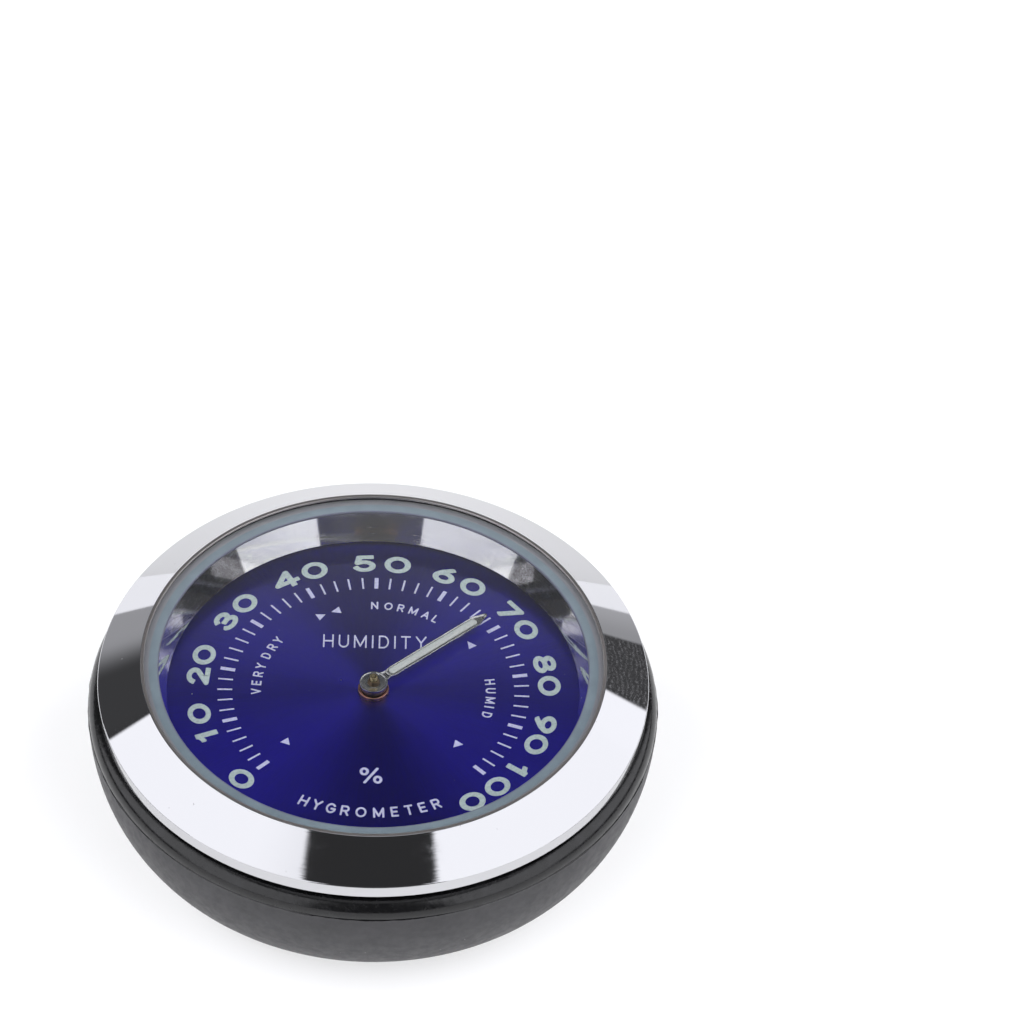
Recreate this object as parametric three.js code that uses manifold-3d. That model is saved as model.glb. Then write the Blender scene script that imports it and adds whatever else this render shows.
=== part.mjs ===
// Stick-on dial hygrometer, in millimetres, +Z up.
//
// A round gauge sits in a black bowl-shaped base that sticks to a shelf or a dashboard.
// The gauge is a moulded case closed by a chromed bezel and a flat crystal.  Below its dial
// a humidity-sensitive spiral strip winds and unwinds, and turns the pointer directly.
// The strip's outer end is held by an arm that a slotted screw in the back turns, which
// is how the reading is set.
//
// The origin is the middle of the pad's underside, and +Y points at the dial's 50 mark.

import * as THREE from 'three';
import { mergeVertices } from 'three/addons/utils/BufferGeometryUtils.js';
import Module from 'manifold-3d';

const wasm = await Module();
wasm.setup();

// ---------------------------------------------------------------- driving dimensions

const FILM = 0.02; // air left between faces that touch
const NEST = 0.1; // radial gap between round pieces that nest
const RUNNING_FIT = 0.05; // radial clearance of what turns in a hole
const CUT_OVERRUN = 0.5; // how far a cutter sticks out of what it cuts

const FINE = 60; // sides of the large rounds
const MEDIUM = 24; // sides of hubs and bushes
const SMALL = 14; // sides of pins and screws

// Adhesive pad and base
const PAD_RADIUS = 14.7;
const PAD_THICKNESS = 1.4;
const BASE_BOTTOM = 1;
const BASE_FLOOR = 2.8;
const BASE_FLAT_RADIUS = 15.5;
const BASE_WIDEST_RADIUS = 21.45;
const BASE_WIDEST_Z = 10.6;
const BASE_TOP = 11.75;
const BASE_BORE_RADIUS = 18.6;
const BASE_FLOOR_RADIUS = 16.6;
const BASE_BORE_START = 6.2;
const RIB_COUNT = 6;
const RIB_WIDTH = 1;
const RIB_TOP = 11.2;

// Gauge case
const CASE_RADIUS = 17.9;
const CASE_BACK = 4.2;
const CASE_FLOOR = 5;
const CASE_CORNER = 1.8;
const CASE_INNER_RADIUS = 16.3;
const CASE_MOUTH_RADIUS = 17.3;
const CASE_TOP = 14.2;
const VENT_COUNT = 6;
const VENT_WIDTH = 1.4;
const VENT_INNER = 7;
const VENT_OUTER = 14;

// Dial, reflector cone, gasket and crystal
const DIAL_FACE = 11.6;
const DIAL_UNDERSIDE = DIAL_FACE - 0.4;
const REFLECTOR_BOTTOM_RADIUS = 15.5;
const REFLECTOR_TOP_RADIUS = 17;
const GASKET_INNER_RADIUS = 16.1;
const GASKET_OUTER_RADIUS = 17.4;
const CRYSTAL_RADIUS = 17.45;
const CRYSTAL_TOP = 15;
const CRYSTAL_THICKNESS = 0.55;
const CRYSTAL_CHAMFER = 0.12;

// Bezel
const BEZEL_LIP_RADIUS = 17.2;
const BEZEL_BORE_RADIUS = 17.53;
const BEZEL_OUTER_RADIUS = 20.69;
const BEZEL_TOP = 15.2;
const BEZEL_RIM_WIDTH = 0.24;
const BEZEL_EDGE_Z = 13.18;
const BEZEL_UNDERSIDE = 12.1;

// Movement plate and its pillars
const PLATE_UNDERSIDE = 10.2;
const PLATE_TOP = 10.8;
const PLATE_EAR_RADIUS = 2.3;
const PILLAR_CIRCLE = 12;
const PILLAR_ANGLES = [90, 210, 330];
const PILLAR_RADIUS = 1.25;
const PILLAR_SPIGOT_RADIUS = 0.7;
const SCREW_SHANK_RADIUS = 0.55;
const SCREW_HOLE_RADIUS = 0.65;
const SCREW_HEAD_RADIUS = 1.15;
const SCREW_HEAD_BOTTOM = 3.6;
const SCREW_TIP = 7.2;
const FOOT_CIRCLE = 6.5;
const FOOT_RADIUS = 0.5;
const FOOT_BOTTOM = 9.6;

// Centre bush
const BUSH_RADIUS = 1;
const BUSH_FLANGE_RADIUS = 1.17;
const BUSH_FLANGE_TOP = DIAL_FACE + 0.36;
const BUSH_BOTTOM = 9.3;
const NUT_ACROSS_CORNERS = 4.2;
const NUT_BOTTOM = 9.4;

// Calibration screw and its arm
const SCREW_BODY_RADIUS = 1.5;
const SLOT_HEAD_RADIUS = 2.4;
const SLOT_HEAD_BOTTOM = 3.45;
const ARM_BOTTOM = 5.4;
const ARM_TOP = 5.9;
const ARM_REACH = 8;
const ARM_HUB_RADIUS = 2.2;
const ARM_END_RADIUS = 1.1;
const ARM_SPIGOT_RADIUS = 1;
const ARM_SPIGOT_TOP = 6.1;
const STUD_RADIUS = 0.48;
const STUD_ANGLE = 200;

// Spiral sensor strip
const STRIP_BOTTOM = 6.45;
const STRIP_TOP = 8.35;
const STRIP_THICKNESS = 0.18;
const STRIP_TURNS = 6.5;
const STRIP_INNER_RADIUS = 1.12;
const STRIP_STEPS_PER_TURN = 24;

// Pointer
const POINTER_ANGLE = 49.1; // clockwise from the 50 mark, at rest
const ARBOR_RADIUS = 0.3;
const ARBOR_TOP = DIAL_FACE + 1.6;
const PIVOT_RADIUS = 0.17;
const PIVOT_BOTTOM = 5.55;
const COLLET_RADIUS = 1;
const HAND_BOTTOM = DIAL_FACE + 0.83;
const HAND_TOP = HAND_BOTTOM + 0.16;
const HAND_HUB_RADIUS = 1.06;
const HAND_HALF_WIDTH = 0.47;
const HAND_TIP = 11.14;
const HAND_SHOULDER = 10.15;
const LUME_HALF_WIDTH = 0.25;
const LUME_START = 1.6;
const LUME_END = 10.05;
const LUME_TOP = HAND_TOP + 0.04;
const BOSS_RADIUS = 0.46;
const BOSS_TOP = HAND_TOP + 0.26;

// ---------------------------------------------------------------- materials

function material(color, roughness, metalness) {
  return new THREE.MeshStandardMaterial({ color, roughness, metalness });
}

const blackPlastic = () => material(0x1a1b1d, 0.55, 0);
const greyPlastic = () => material(0x55585a, 0.6, 0);
const foam = () => material(0x2b2b2b, 0.95, 0);
const chrome = () => material(0xd8d8dc, 0.08, 1);
const glass = () => material(0xcfe0e2, 0.03, 0);
const gasketPlastic = () => material(0x93a5ab, 0.45, 0);
const polishedMetal = () => material(0xa9a6a4, 0.15, 1);
const blueLacquer = () => material(0x2a2390, 0.35, 0.6);
const steel = () => material(0x8d8f92, 0.3, 1);
const brass = () => material(0xb08d4a, 0.3, 1);
const copper = () => material(0xb0704a, 0.3, 1);
const lume = () => material(0xb9c4b0, 0.8, 0);
const sensorStrip = () => material(0xc8b27a, 0.5, 0.5);

// ---------------------------------------------------------------- geometry helpers

const turn = (degrees) => THREE.MathUtils.degToRad(degrees);

// A ring or disc from [radius, z] points, anticlockwise when radius runs right and z up.
function lathe(profile, sides, closed) {
  const points = profile.map(([radius, z]) => new THREE.Vector2(radius, z));
  if (closed) points.push(points[0].clone());
  return new THREE.LatheGeometry(points, sides).rotateX(Math.PI / 2);
}

// A solid of revolution whose profile starts and ends on the axis.
const turned = (profile, sides) => lathe(profile, sides, false);

// A ring whose profile closes on itself.
const ring = (profile, sides) => lathe(profile, sides, true);

// A flat washer or short tube.
function tube(inner, outer, bottom, top, sides) {
  return ring([[inner, bottom], [outer, bottom], [outer, top], [inner, top]], sides);
}

// A cylinder standing on z = bottom.
function rod(radius, bottom, top, sides) {
  return turned([[0, bottom], [radius, bottom], [radius, top], [0, top]], sides);
}

// A flat shape in X and Y, given height between two levels.
function plate(shape, bottom, top, curveSegments) {
  const options = { depth: top - bottom, bevelEnabled: false, curveSegments };
  return new THREE.ExtrudeGeometry(shape, options).translate(0, 0, bottom);
}

function box(width, depth, bottom, top) {
  return new THREE.BoxGeometry(width, depth, top - bottom).translate(0, 0, (bottom + top) / 2);
}

function hole(x, y, radius) {
  return new THREE.Path().absarc(x, y, radius, 0, Math.PI * 2, true);
}

// Points along a quarter of an ellipse, from the end of one half-axis to the other.
function quarter(centre, halfWidth, halfHeight, fromDegrees, steps) {
  return Array.from({ length: steps + 1 }, (_, i) => {
    const angle = turn(fromDegrees + (90 * i) / steps);
    return [centre[0] + halfWidth * Math.cos(angle), centre[1] + halfHeight * Math.sin(angle)];
  });
}

// A point on a circle about the axis, in degrees anticlockwise from +X.
function onCircle(radius, degrees) {
  return [radius * Math.cos(turn(degrees)), radius * Math.sin(turn(degrees))];
}

function toSolid(geometry) {
  const bare = geometry.index ? geometry.toNonIndexed() : geometry.clone();
  bare.deleteAttribute('normal');
  bare.deleteAttribute('uv');
  const merged = mergeVertices(bare, 1e-5);
  return new wasm.Manifold(new wasm.Mesh({
    numProp: 3,
    vertProperties: new Float32Array(merged.attributes.position.array),
    triVerts: new Uint32Array(merged.index.array),
  }));
}

function toGeometry(solid) {
  const mesh = solid.getMesh();
  const geometry = new THREE.BufferGeometry();
  geometry.setAttribute('position', new THREE.BufferAttribute(mesh.vertProperties, 3));
  geometry.setIndex(new THREE.BufferAttribute(mesh.triVerts, 1));
  geometry.computeVertexNormals();
  return geometry;
}

function cut(body, cutters) {
  return toGeometry(cutters.reduce((left, tool) => left.subtract(toSolid(tool)), toSolid(body)));
}

function join(body, additions) {
  return toGeometry(additions.reduce((whole, piece) => whole.add(toSolid(piece)), toSolid(body)));
}

function part(name, geometry, finish) {
  const mesh = new THREE.Mesh(geometry, finish);
  mesh.name = name;
  return mesh;
}

// ---------------------------------------------------------------- base

function adhesivePad() {
  return part('adhesive_pad', rod(PAD_RADIUS, 0, PAD_THICKNESS - FILM, FINE), foam());
}

// A bowl with an elliptical flank, a rounded shoulder, and a recess for the pad.
function baseBowl() {
  const shoulder = BASE_TOP - BASE_WIDEST_Z;
  const flank = quarter(
    [BASE_FLAT_RADIUS, BASE_WIDEST_Z],
    BASE_WIDEST_RADIUS - BASE_FLAT_RADIUS,
    BASE_WIDEST_Z - BASE_BOTTOM,
    270,
    12,
  );
  const roundedShoulder = quarter(
    [BASE_WIDEST_RADIUS - shoulder, BASE_WIDEST_Z], shoulder, shoulder, 0, 5,
  ).slice(1);
  const recessRadius = PAD_RADIUS + NEST;
  return turned([
    [0, PAD_THICKNESS],
    [recessRadius, PAD_THICKNESS],
    [recessRadius, BASE_BOTTOM],
    ...flank,
    ...roundedShoulder,
    [BASE_BORE_RADIUS, BASE_TOP],
    [BASE_BORE_RADIUS, BASE_BORE_START],
    [BASE_FLOOR_RADIUS, BASE_FLOOR],
    [0, BASE_FLOOR],
  ], FINE);
}

// Ribs inside the bowl grip the gauge case, and leave the air a way past it.
function gripRib(index) {
  const inner = CASE_RADIUS + NEST;
  const depth = BASE_BORE_RADIUS + RIB_WIDTH / 2 - inner;
  const rib = box(depth, RIB_WIDTH, BASE_BORE_START, RIB_TOP);
  return rib.translate(inner + depth / 2, 0, 0).rotateZ(turn((360 / RIB_COUNT) * index));
}

function baseShell() {
  const ribs = Array.from({ length: RIB_COUNT }, (_, index) => gripRib(index));
  return part('base_shell', join(baseBowl(), ribs), blackPlastic());
}

// ---------------------------------------------------------------- gauge case and front

function caseCup() {
  const wall = CASE_RADIUS - CASE_INNER_RADIUS;
  const cornerZ = CASE_BACK + CASE_CORNER;
  const outerCorner = quarter(
    [CASE_RADIUS - CASE_CORNER, cornerZ], CASE_CORNER, CASE_CORNER, 270, 5,
  );
  const innerCorner = quarter(
    [CASE_INNER_RADIUS - wall / 2, CASE_FLOOR + wall / 2], wall / 2, wall / 2, 270, 4,
  ).reverse();
  return turned([
    [0, CASE_BACK],
    ...outerCorner,
    [CASE_RADIUS, CASE_TOP],
    [CASE_MOUTH_RADIUS, CASE_TOP],
    [CASE_MOUTH_RADIUS, DIAL_UNDERSIDE - FILM],
    [CASE_INNER_RADIUS, DIAL_UNDERSIDE - FILM],
    ...innerCorner,
    [0, CASE_FLOOR],
  ], FINE);
}

function ventCutter(index) {
  const length = VENT_OUTER - VENT_INNER;
  const low = CASE_BACK - CUT_OVERRUN;
  const high = CASE_FLOOR + CUT_OVERRUN;
  const slot = box(length, VENT_WIDTH, low, high).translate(VENT_INNER + length / 2, 0, 0);
  return slot.rotateZ(turn((360 / VENT_COUNT) * index));
}

function backHoleCutter(x, y, radius, sides) {
  const cutter = rod(radius, CASE_BACK - CUT_OVERRUN, CASE_FLOOR + CUT_OVERRUN, sides);
  return cutter.translate(x, y, 0);
}

function gaugeCase() {
  const cutters = [backHoleCutter(0, 0, SCREW_BODY_RADIUS + RUNNING_FIT, MEDIUM)];
  for (const degrees of PILLAR_ANGLES) {
    cutters.push(backHoleCutter(...onCircle(PILLAR_CIRCLE, degrees), SCREW_HOLE_RADIUS, SMALL));
  }
  for (let index = 0; index < VENT_COUNT; index += 1) cutters.push(ventCutter(index));
  return part('gauge_case', cut(caseCup(), cutters), greyPlastic());
}

function dialPlate() {
  const radius = CASE_MOUTH_RADIUS - NEST;
  const centreHole = BUSH_RADIUS + RUNNING_FIT;
  return part('dial_plate', tube(centreHole, radius, DIAL_UNDERSIDE, DIAL_FACE, FINE), blueLacquer());
}

// A ring of nearly triangular section stands on the dial, and its inner cone is polished.
function reflectorRing() {
  const outer = CASE_MOUTH_RADIUS - NEST;
  const profile = [
    [REFLECTOR_BOTTOM_RADIUS, DIAL_FACE + FILM],
    [outer, DIAL_FACE + FILM],
    [outer, CASE_TOP],
    [REFLECTOR_TOP_RADIUS, CASE_TOP],
  ];
  return part('reflector_ring', ring(profile, FINE), polishedMetal());
}

function crystalGasket() {
  const bottom = CASE_TOP + FILM;
  const top = CRYSTAL_TOP - CRYSTAL_THICKNESS - FILM;
  const geometry = tube(GASKET_INNER_RADIUS, GASKET_OUTER_RADIUS, bottom, top, FINE);
  return part('crystal_gasket', geometry, gasketPlastic());
}

function crystal() {
  const profile = [
    [0, CRYSTAL_TOP - CRYSTAL_THICKNESS],
    [CRYSTAL_RADIUS, CRYSTAL_TOP - CRYSTAL_THICKNESS],
    [CRYSTAL_RADIUS, CRYSTAL_TOP - CRYSTAL_CHAMFER],
    [CRYSTAL_RADIUS - CRYSTAL_CHAMFER, CRYSTAL_TOP],
    [0, CRYSTAL_TOP],
  ];
  return part('crystal', turned(profile, FINE), glass());
}

// A cone whose thin inner lip holds the crystal down, with an upright edge outside.  A step
// below the bore clamps the mouth of the case.
function bezel() {
  const edgeRounding = 0.09;
  const step = CASE_TOP + NEST;
  const skirtRadius = CASE_RADIUS + NEST * 0.8;
  const lipBottom = CRYSTAL_TOP + FILM;
  const lipHalf = (BEZEL_TOP - lipBottom) / 2;
  const lip = [90, 135, 180, 225, 270].map((degrees) => [
    BEZEL_LIP_RADIUS + lipHalf + lipHalf * Math.cos(turn(degrees)),
    BEZEL_TOP - lipHalf + lipHalf * Math.sin(turn(degrees)),
  ]);
  const profile = [
    [BEZEL_BORE_RADIUS, step],
    [skirtRadius, step],
    [skirtRadius, BEZEL_UNDERSIDE],
    [BEZEL_OUTER_RADIUS - edgeRounding, BEZEL_UNDERSIDE],
    [BEZEL_OUTER_RADIUS, BEZEL_UNDERSIDE + edgeRounding],
    [BEZEL_OUTER_RADIUS, BEZEL_EDGE_Z - edgeRounding],
    [BEZEL_OUTER_RADIUS - edgeRounding, BEZEL_EDGE_Z],
    [BEZEL_LIP_RADIUS + BEZEL_RIM_WIDTH, BEZEL_TOP - lipHalf / 2],
    ...lip,
    [BEZEL_BORE_RADIUS, lipBottom],
  ];
  return part('bezel', ring(profile, FINE), chrome());
}

// ---------------------------------------------------------------- movement frame

// A triangle with rounded corners, one corner over each pillar.
function plateOutline() {
  const shape = new THREE.Shape();
  for (const degrees of PILLAR_ANGLES) {
    const [x, y] = onCircle(PILLAR_CIRCLE, degrees);
    shape.absarc(x, y, PLATE_EAR_RADIUS, turn(degrees - 60), turn(degrees + 60), false);
  }
  return shape;
}

function movementPlate() {
  const shape = plateOutline();
  shape.holes.push(hole(0, 0, BUSH_RADIUS + RUNNING_FIT));
  for (const degrees of PILLAR_ANGLES) {
    shape.holes.push(hole(...onCircle(PILLAR_CIRCLE, degrees), PILLAR_SPIGOT_RADIUS + RUNNING_FIT));
  }
  for (const side of [-1, 1]) shape.holes.push(hole(side * FOOT_CIRCLE, 0, FOOT_RADIUS + NEST));
  return part('movement_plate', plate(shape, PLATE_UNDERSIDE, PLATE_TOP, SMALL / 2), brass());
}

function pillar(index) {
  const [x, y] = onCircle(PILLAR_CIRCLE, PILLAR_ANGLES[index]);
  const shoulder = PLATE_UNDERSIDE - FILM;
  const threadTop = SCREW_TIP + NEST;
  const geometry = turned([
    [0, threadTop],
    [SCREW_HOLE_RADIUS, threadTop],
    [SCREW_HOLE_RADIUS, CASE_FLOOR + FILM],
    [PILLAR_RADIUS, CASE_FLOOR + FILM],
    [PILLAR_RADIUS, shoulder],
    [PILLAR_SPIGOT_RADIUS, shoulder],
    [PILLAR_SPIGOT_RADIUS, PLATE_TOP],
    [0, PLATE_TOP],
  ], SMALL);
  return part(`pillar_${index + 1}`, geometry.translate(x, y, 0), brass());
}

// A pan-head screw with a cross recess, driven from the back of the case into a pillar.
function pillarScrew(index) {
  const [x, y] = onCircle(PILLAR_CIRCLE, PILLAR_ANGLES[index]);
  const headTop = CASE_BACK - FILM;
  const edge = 0.15;
  const body = turned([
    [0, SCREW_HEAD_BOTTOM],
    [SCREW_HEAD_RADIUS - edge, SCREW_HEAD_BOTTOM],
    [SCREW_HEAD_RADIUS, SCREW_HEAD_BOTTOM + edge],
    [SCREW_HEAD_RADIUS, headTop],
    [SCREW_SHANK_RADIUS, headTop],
    [SCREW_SHANK_RADIUS, SCREW_TIP],
    [0, SCREW_TIP],
  ], SMALL);
  const recessLength = 1.3;
  const recessWidth = 0.3;
  const recessTop = SCREW_HEAD_BOTTOM + 0.3;
  const low = SCREW_HEAD_BOTTOM - CUT_OVERRUN;
  const recess = [
    box(recessLength, recessWidth, low, recessTop),
    box(recessWidth, recessLength, low, recessTop),
  ];
  return part(`pillar_screw_${index + 1}`, cut(body, recess).translate(x, y, 0), steel());
}

function dialFoot(index) {
  const x = index === 0 ? -FOOT_CIRCLE : FOOT_CIRCLE;
  const geometry = rod(FOOT_RADIUS, FOOT_BOTTOM, DIAL_UNDERSIDE - FILM, SMALL);
  return part(`dial_foot_${index + 1}`, geometry.translate(x, 0, 0), copper());
}

// A flanged bush clamps the dial to the plate and is the pointer arbor's upper bearing.
function centreBush() {
  const flangeUnderside = DIAL_FACE + FILM;
  const geometry = ring([
    [ARBOR_RADIUS + RUNNING_FIT, BUSH_BOTTOM],
    [BUSH_RADIUS, BUSH_BOTTOM],
    [BUSH_RADIUS, flangeUnderside],
    [BUSH_FLANGE_RADIUS, flangeUnderside],
    [BUSH_FLANGE_RADIUS, BUSH_FLANGE_TOP],
    [ARBOR_RADIUS + RUNNING_FIT, BUSH_FLANGE_TOP],
  ], MEDIUM);
  return part('centre_bush', geometry, copper());
}

function bushNut() {
  const shape = new THREE.Shape();
  const corners = Array.from({ length: 6 }, (_, i) => onCircle(NUT_ACROSS_CORNERS / 2, 60 * i));
  shape.setFromPoints(corners.map(([x, y]) => new THREE.Vector2(x, y)));
  shape.holes.push(hole(0, 0, BUSH_RADIUS + RUNNING_FIT));
  return part('bush_nut', plate(shape, NUT_BOTTOM, PLATE_UNDERSIDE - FILM, SMALL), brass());
}

function spacerWasher() {
  const outer = NUT_ACROSS_CORNERS / 2;
  const bottom = PLATE_TOP + FILM;
  const geometry = tube(BUSH_RADIUS + RUNNING_FIT, outer, bottom, DIAL_UNDERSIDE - FILM, MEDIUM);
  return part('spacer_washer', geometry, steel());
}

// ---------------------------------------------------------------- calibration

// A slotted head behind the case, a body that turns in its back, and a spigot for the arm.
// A blind hole in the top is the arbor's lower bearing.
function calibrationScrew() {
  const headTop = CASE_BACK - RUNNING_FIT;
  const pivotHole = PIVOT_RADIUS + RUNNING_FIT;
  const body = turned([
    [0, SLOT_HEAD_BOTTOM],
    [SLOT_HEAD_RADIUS, SLOT_HEAD_BOTTOM],
    [SLOT_HEAD_RADIUS, headTop],
    [SCREW_BODY_RADIUS, headTop],
    [SCREW_BODY_RADIUS, ARM_BOTTOM - RUNNING_FIT],
    [ARM_SPIGOT_RADIUS, ARM_BOTTOM - RUNNING_FIT],
    [ARM_SPIGOT_RADIUS, ARM_SPIGOT_TOP],
    [pivotHole, ARM_SPIGOT_TOP],
    [pivotHole, PIVOT_BOTTOM - RUNNING_FIT],
    [0, PIVOT_BOTTOM - RUNNING_FIT],
  ], MEDIUM);
  const slotWidth = 0.7;
  const slotDepth = 0.4;
  const low = SLOT_HEAD_BOTTOM - CUT_OVERRUN;
  const slot = box(SLOT_HEAD_RADIUS * 3, slotWidth, low, SLOT_HEAD_BOTTOM + slotDepth);
  return part('calibration_screw', cut(body, [slot]), brass());
}

// A dished spring washer loads the screw, so that it stays where it is set.
function frictionWasher() {
  const inner = SCREW_BODY_RADIUS + RUNNING_FIT;
  const outer = 3;
  const thickness = 0.1;
  const low = CASE_FLOOR + FILM;
  const high = ARM_BOTTOM - FILM;
  const profile = [[inner, high - thickness], [outer, low], [outer, low + thickness], [inner, high]];
  return part('friction_washer', ring(profile, MEDIUM), steel());
}

// A keyhole-shaped arm: a hub on the screw's spigot, and an eye that holds the stud.
function regulatorArm() {
  const shape = new THREE.Shape();
  const spread = Math.acos((ARM_HUB_RADIUS - ARM_END_RADIUS) / ARM_REACH);
  shape.absarc(0, 0, ARM_HUB_RADIUS, spread, Math.PI * 2 - spread, false);
  shape.absarc(ARM_REACH, 0, ARM_END_RADIUS, -spread, spread, false);
  shape.holes.push(hole(0, 0, ARM_SPIGOT_RADIUS + FILM));
  shape.holes.push(hole(ARM_REACH, 0, STUD_RADIUS + FILM));
  const geometry = plate(shape, ARM_BOTTOM, ARM_TOP, SMALL).rotateZ(turn(STUD_ANGLE));
  return part('regulator_arm', geometry, steel());
}

// The stud's sawn slot holds the outer end of the strip.
function coilStud() {
  const collarRadius = 0.8;
  const collarTop = STRIP_BOTTOM - NEST;
  const top = STRIP_TOP + NEST;
  const body = turned([
    [0, ARM_BOTTOM],
    [STUD_RADIUS, ARM_BOTTOM],
    [STUD_RADIUS, ARM_TOP + FILM],
    [collarRadius, ARM_TOP + FILM],
    [collarRadius, collarTop],
    [STUD_RADIUS, collarTop],
    [STUD_RADIUS, top],
    [0, top],
  ], SMALL);
  const slotWidth = STRIP_THICKNESS + 2 * 0.07;
  const slot = box(slotWidth, STUD_RADIUS * 3, STRIP_BOTTOM - RUNNING_FIT, top + CUT_OVERRUN);
  const geometry = cut(body, [slot]).translate(ARM_REACH, 0, 0).rotateZ(turn(STUD_ANGLE));
  return part('coil_stud', geometry, brass());
}

// ---------------------------------------------------------------- spiral sensor

// Radius grows evenly with angle, and the spiral ends just past the stud.
function spiralPoint(turns, offset) {
  const pastStud = 4 / 360;
  const growth = (ARM_REACH - STRIP_INNER_RADIUS) / (STRIP_TURNS - pastStud);
  const radius = STRIP_INNER_RADIUS + growth * turns + offset;
  const angle = turn(STUD_ANGLE) + (turns - (STRIP_TURNS - pastStud)) * Math.PI * 2;
  return new THREE.Vector2(radius * Math.cos(angle), radius * Math.sin(angle));
}

function sensorCoil() {
  const steps = Math.round(STRIP_TURNS * STRIP_STEPS_PER_TURN);
  const turnsAt = Array.from({ length: steps + 1 }, (_, i) => (STRIP_TURNS * i) / steps);
  const half = STRIP_THICKNESS / 2;
  const outside = turnsAt.map((turns) => spiralPoint(turns, half));
  const inside = turnsAt.map((turns) => spiralPoint(turns, -half)).reverse();
  const shape = new THREE.Shape([...outside, ...inside]);
  return part('sensor_coil', plate(shape, STRIP_BOTTOM, STRIP_TOP, 1), sensorStrip());
}

// ---------------------------------------------------------------- pointer

// A turned shaft: a fine lower pivot, and a rounded top that shows above the pointer.
function pointerArbor() {
  const pivotTop = ARM_SPIGOT_TOP + NEST;
  const dome = quarter([0, ARBOR_TOP - ARBOR_RADIUS / 2], ARBOR_RADIUS, ARBOR_RADIUS / 2, 0, 4);
  const geometry = turned([
    [0, PIVOT_BOTTOM],
    [PIVOT_RADIUS, PIVOT_BOTTOM],
    [PIVOT_RADIUS, pivotTop],
    [ARBOR_RADIUS, pivotTop],
    ...dome.slice(0, -1),
    [0, ARBOR_TOP],
  ], MEDIUM);
  return part('pointer_arbor', geometry, brass());
}

function coilCollet() {
  const inner = ARBOR_RADIUS + FILM;
  const geometry = tube(inner, COLLET_RADIUS, STRIP_BOTTOM - NEST, STRIP_TOP + NEST, MEDIUM);
  return part('coil_collet', geometry, brass());
}

// A hub disc, a neck that widens into the blade, and a tapered tip, all along +Y.
function handOutline() {
  const neckHalf = 0.26;
  const neckAngle = Math.asin(neckHalf / HAND_HUB_RADIUS);
  const bladeStart = 1.75;
  const tipHalf = 0.04;
  const up = Math.PI / 2;
  const shape = new THREE.Shape();
  shape.absarc(0, 0, HAND_HUB_RADIUS, up + neckAngle, up - neckAngle + Math.PI * 2, false);
  shape.lineTo(HAND_HALF_WIDTH, bladeStart);
  shape.lineTo(HAND_HALF_WIDTH, HAND_SHOULDER);
  shape.lineTo(tipHalf, HAND_TIP);
  shape.lineTo(-tipHalf, HAND_TIP);
  shape.lineTo(-HAND_HALF_WIDTH, HAND_SHOULDER);
  shape.lineTo(-HAND_HALF_WIDTH, bladeStart);
  shape.closePath();
  return shape;
}

// The slot along the blade, and with less margin the strip of luminous paint that fills it.
function lumeOutline(margin) {
  const half = LUME_HALF_WIDTH + margin;
  const path = new THREE.Shape();
  path.absarc(0, LUME_END - LUME_HALF_WIDTH, half, 0, Math.PI, false);
  path.absarc(0, LUME_START + LUME_HALF_WIDTH, half, Math.PI, Math.PI * 2, false);
  path.closePath();
  return path;
}

function pointerHand() {
  const slotMargin = 0.07;
  const shape = handOutline();
  shape.holes.push(hole(0, 0, BOSS_RADIUS + FILM));
  shape.holes.push(new THREE.Path(lumeOutline(slotMargin).getPoints(SMALL / 2)));
  const geometry = plate(shape, HAND_BOTTOM, HAND_TOP, MEDIUM);
  return part('pointer_hand', geometry.rotateZ(-turn(POINTER_ANGLE)), steel());
}

function pointerLume() {
  const geometry = plate(lumeOutline(0), HAND_BOTTOM, LUME_TOP, SMALL / 2);
  return part('pointer_lume', geometry.rotateZ(-turn(POINTER_ANGLE)), lume());
}

// The boss carries the hand on its flange, and grips the arbor.
function pointerBoss() {
  const inner = ARBOR_RADIUS + FILM;
  const flangeRadius = HAND_HUB_RADIUS - 0.06;
  const bottom = BUSH_FLANGE_TOP + NEST;
  const flangeTop = HAND_BOTTOM - FILM;
  const geometry = ring([
    [inner, bottom],
    [flangeRadius, bottom],
    [flangeRadius, flangeTop],
    [BOSS_RADIUS, flangeTop],
    [BOSS_RADIUS, BOSS_TOP],
    [inner, BOSS_TOP],
  ], MEDIUM);
  return part('pointer_boss', geometry, steel());
}

// ---------------------------------------------------------------- assembly

function group(...meshes) {
  const assembly = new THREE.Group();
  assembly.add(...meshes);
  return assembly;
}

const base = group(baseShell(), adhesivePad());

const front = group(bezel(), crystal(), crystalGasket(), reflectorRing(), dialPlate(), gaugeCase());

const frame = group(movementPlate(), centreBush(), bushNut(), spacerWasher());
for (let index = 0; index < PILLAR_ANGLES.length; index += 1) {
  frame.add(pillar(index), pillarScrew(index));
}
for (let index = 0; index < 2; index += 1) frame.add(dialFoot(index));

const calibrator = group(
  calibrationScrew(), frictionWasher(), regulatorArm(), coilStud(), sensorCoil(),
);

const pointer = group(
  pointerArbor(), coilCollet(), pointerBoss(), pointerHand(), pointerLume(),
);

export default group(base, front, frame, calibrator, pointer);
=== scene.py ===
import math

import bmesh
import bpy
import numpy as np
from mathutils import Matrix, Vector


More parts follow.
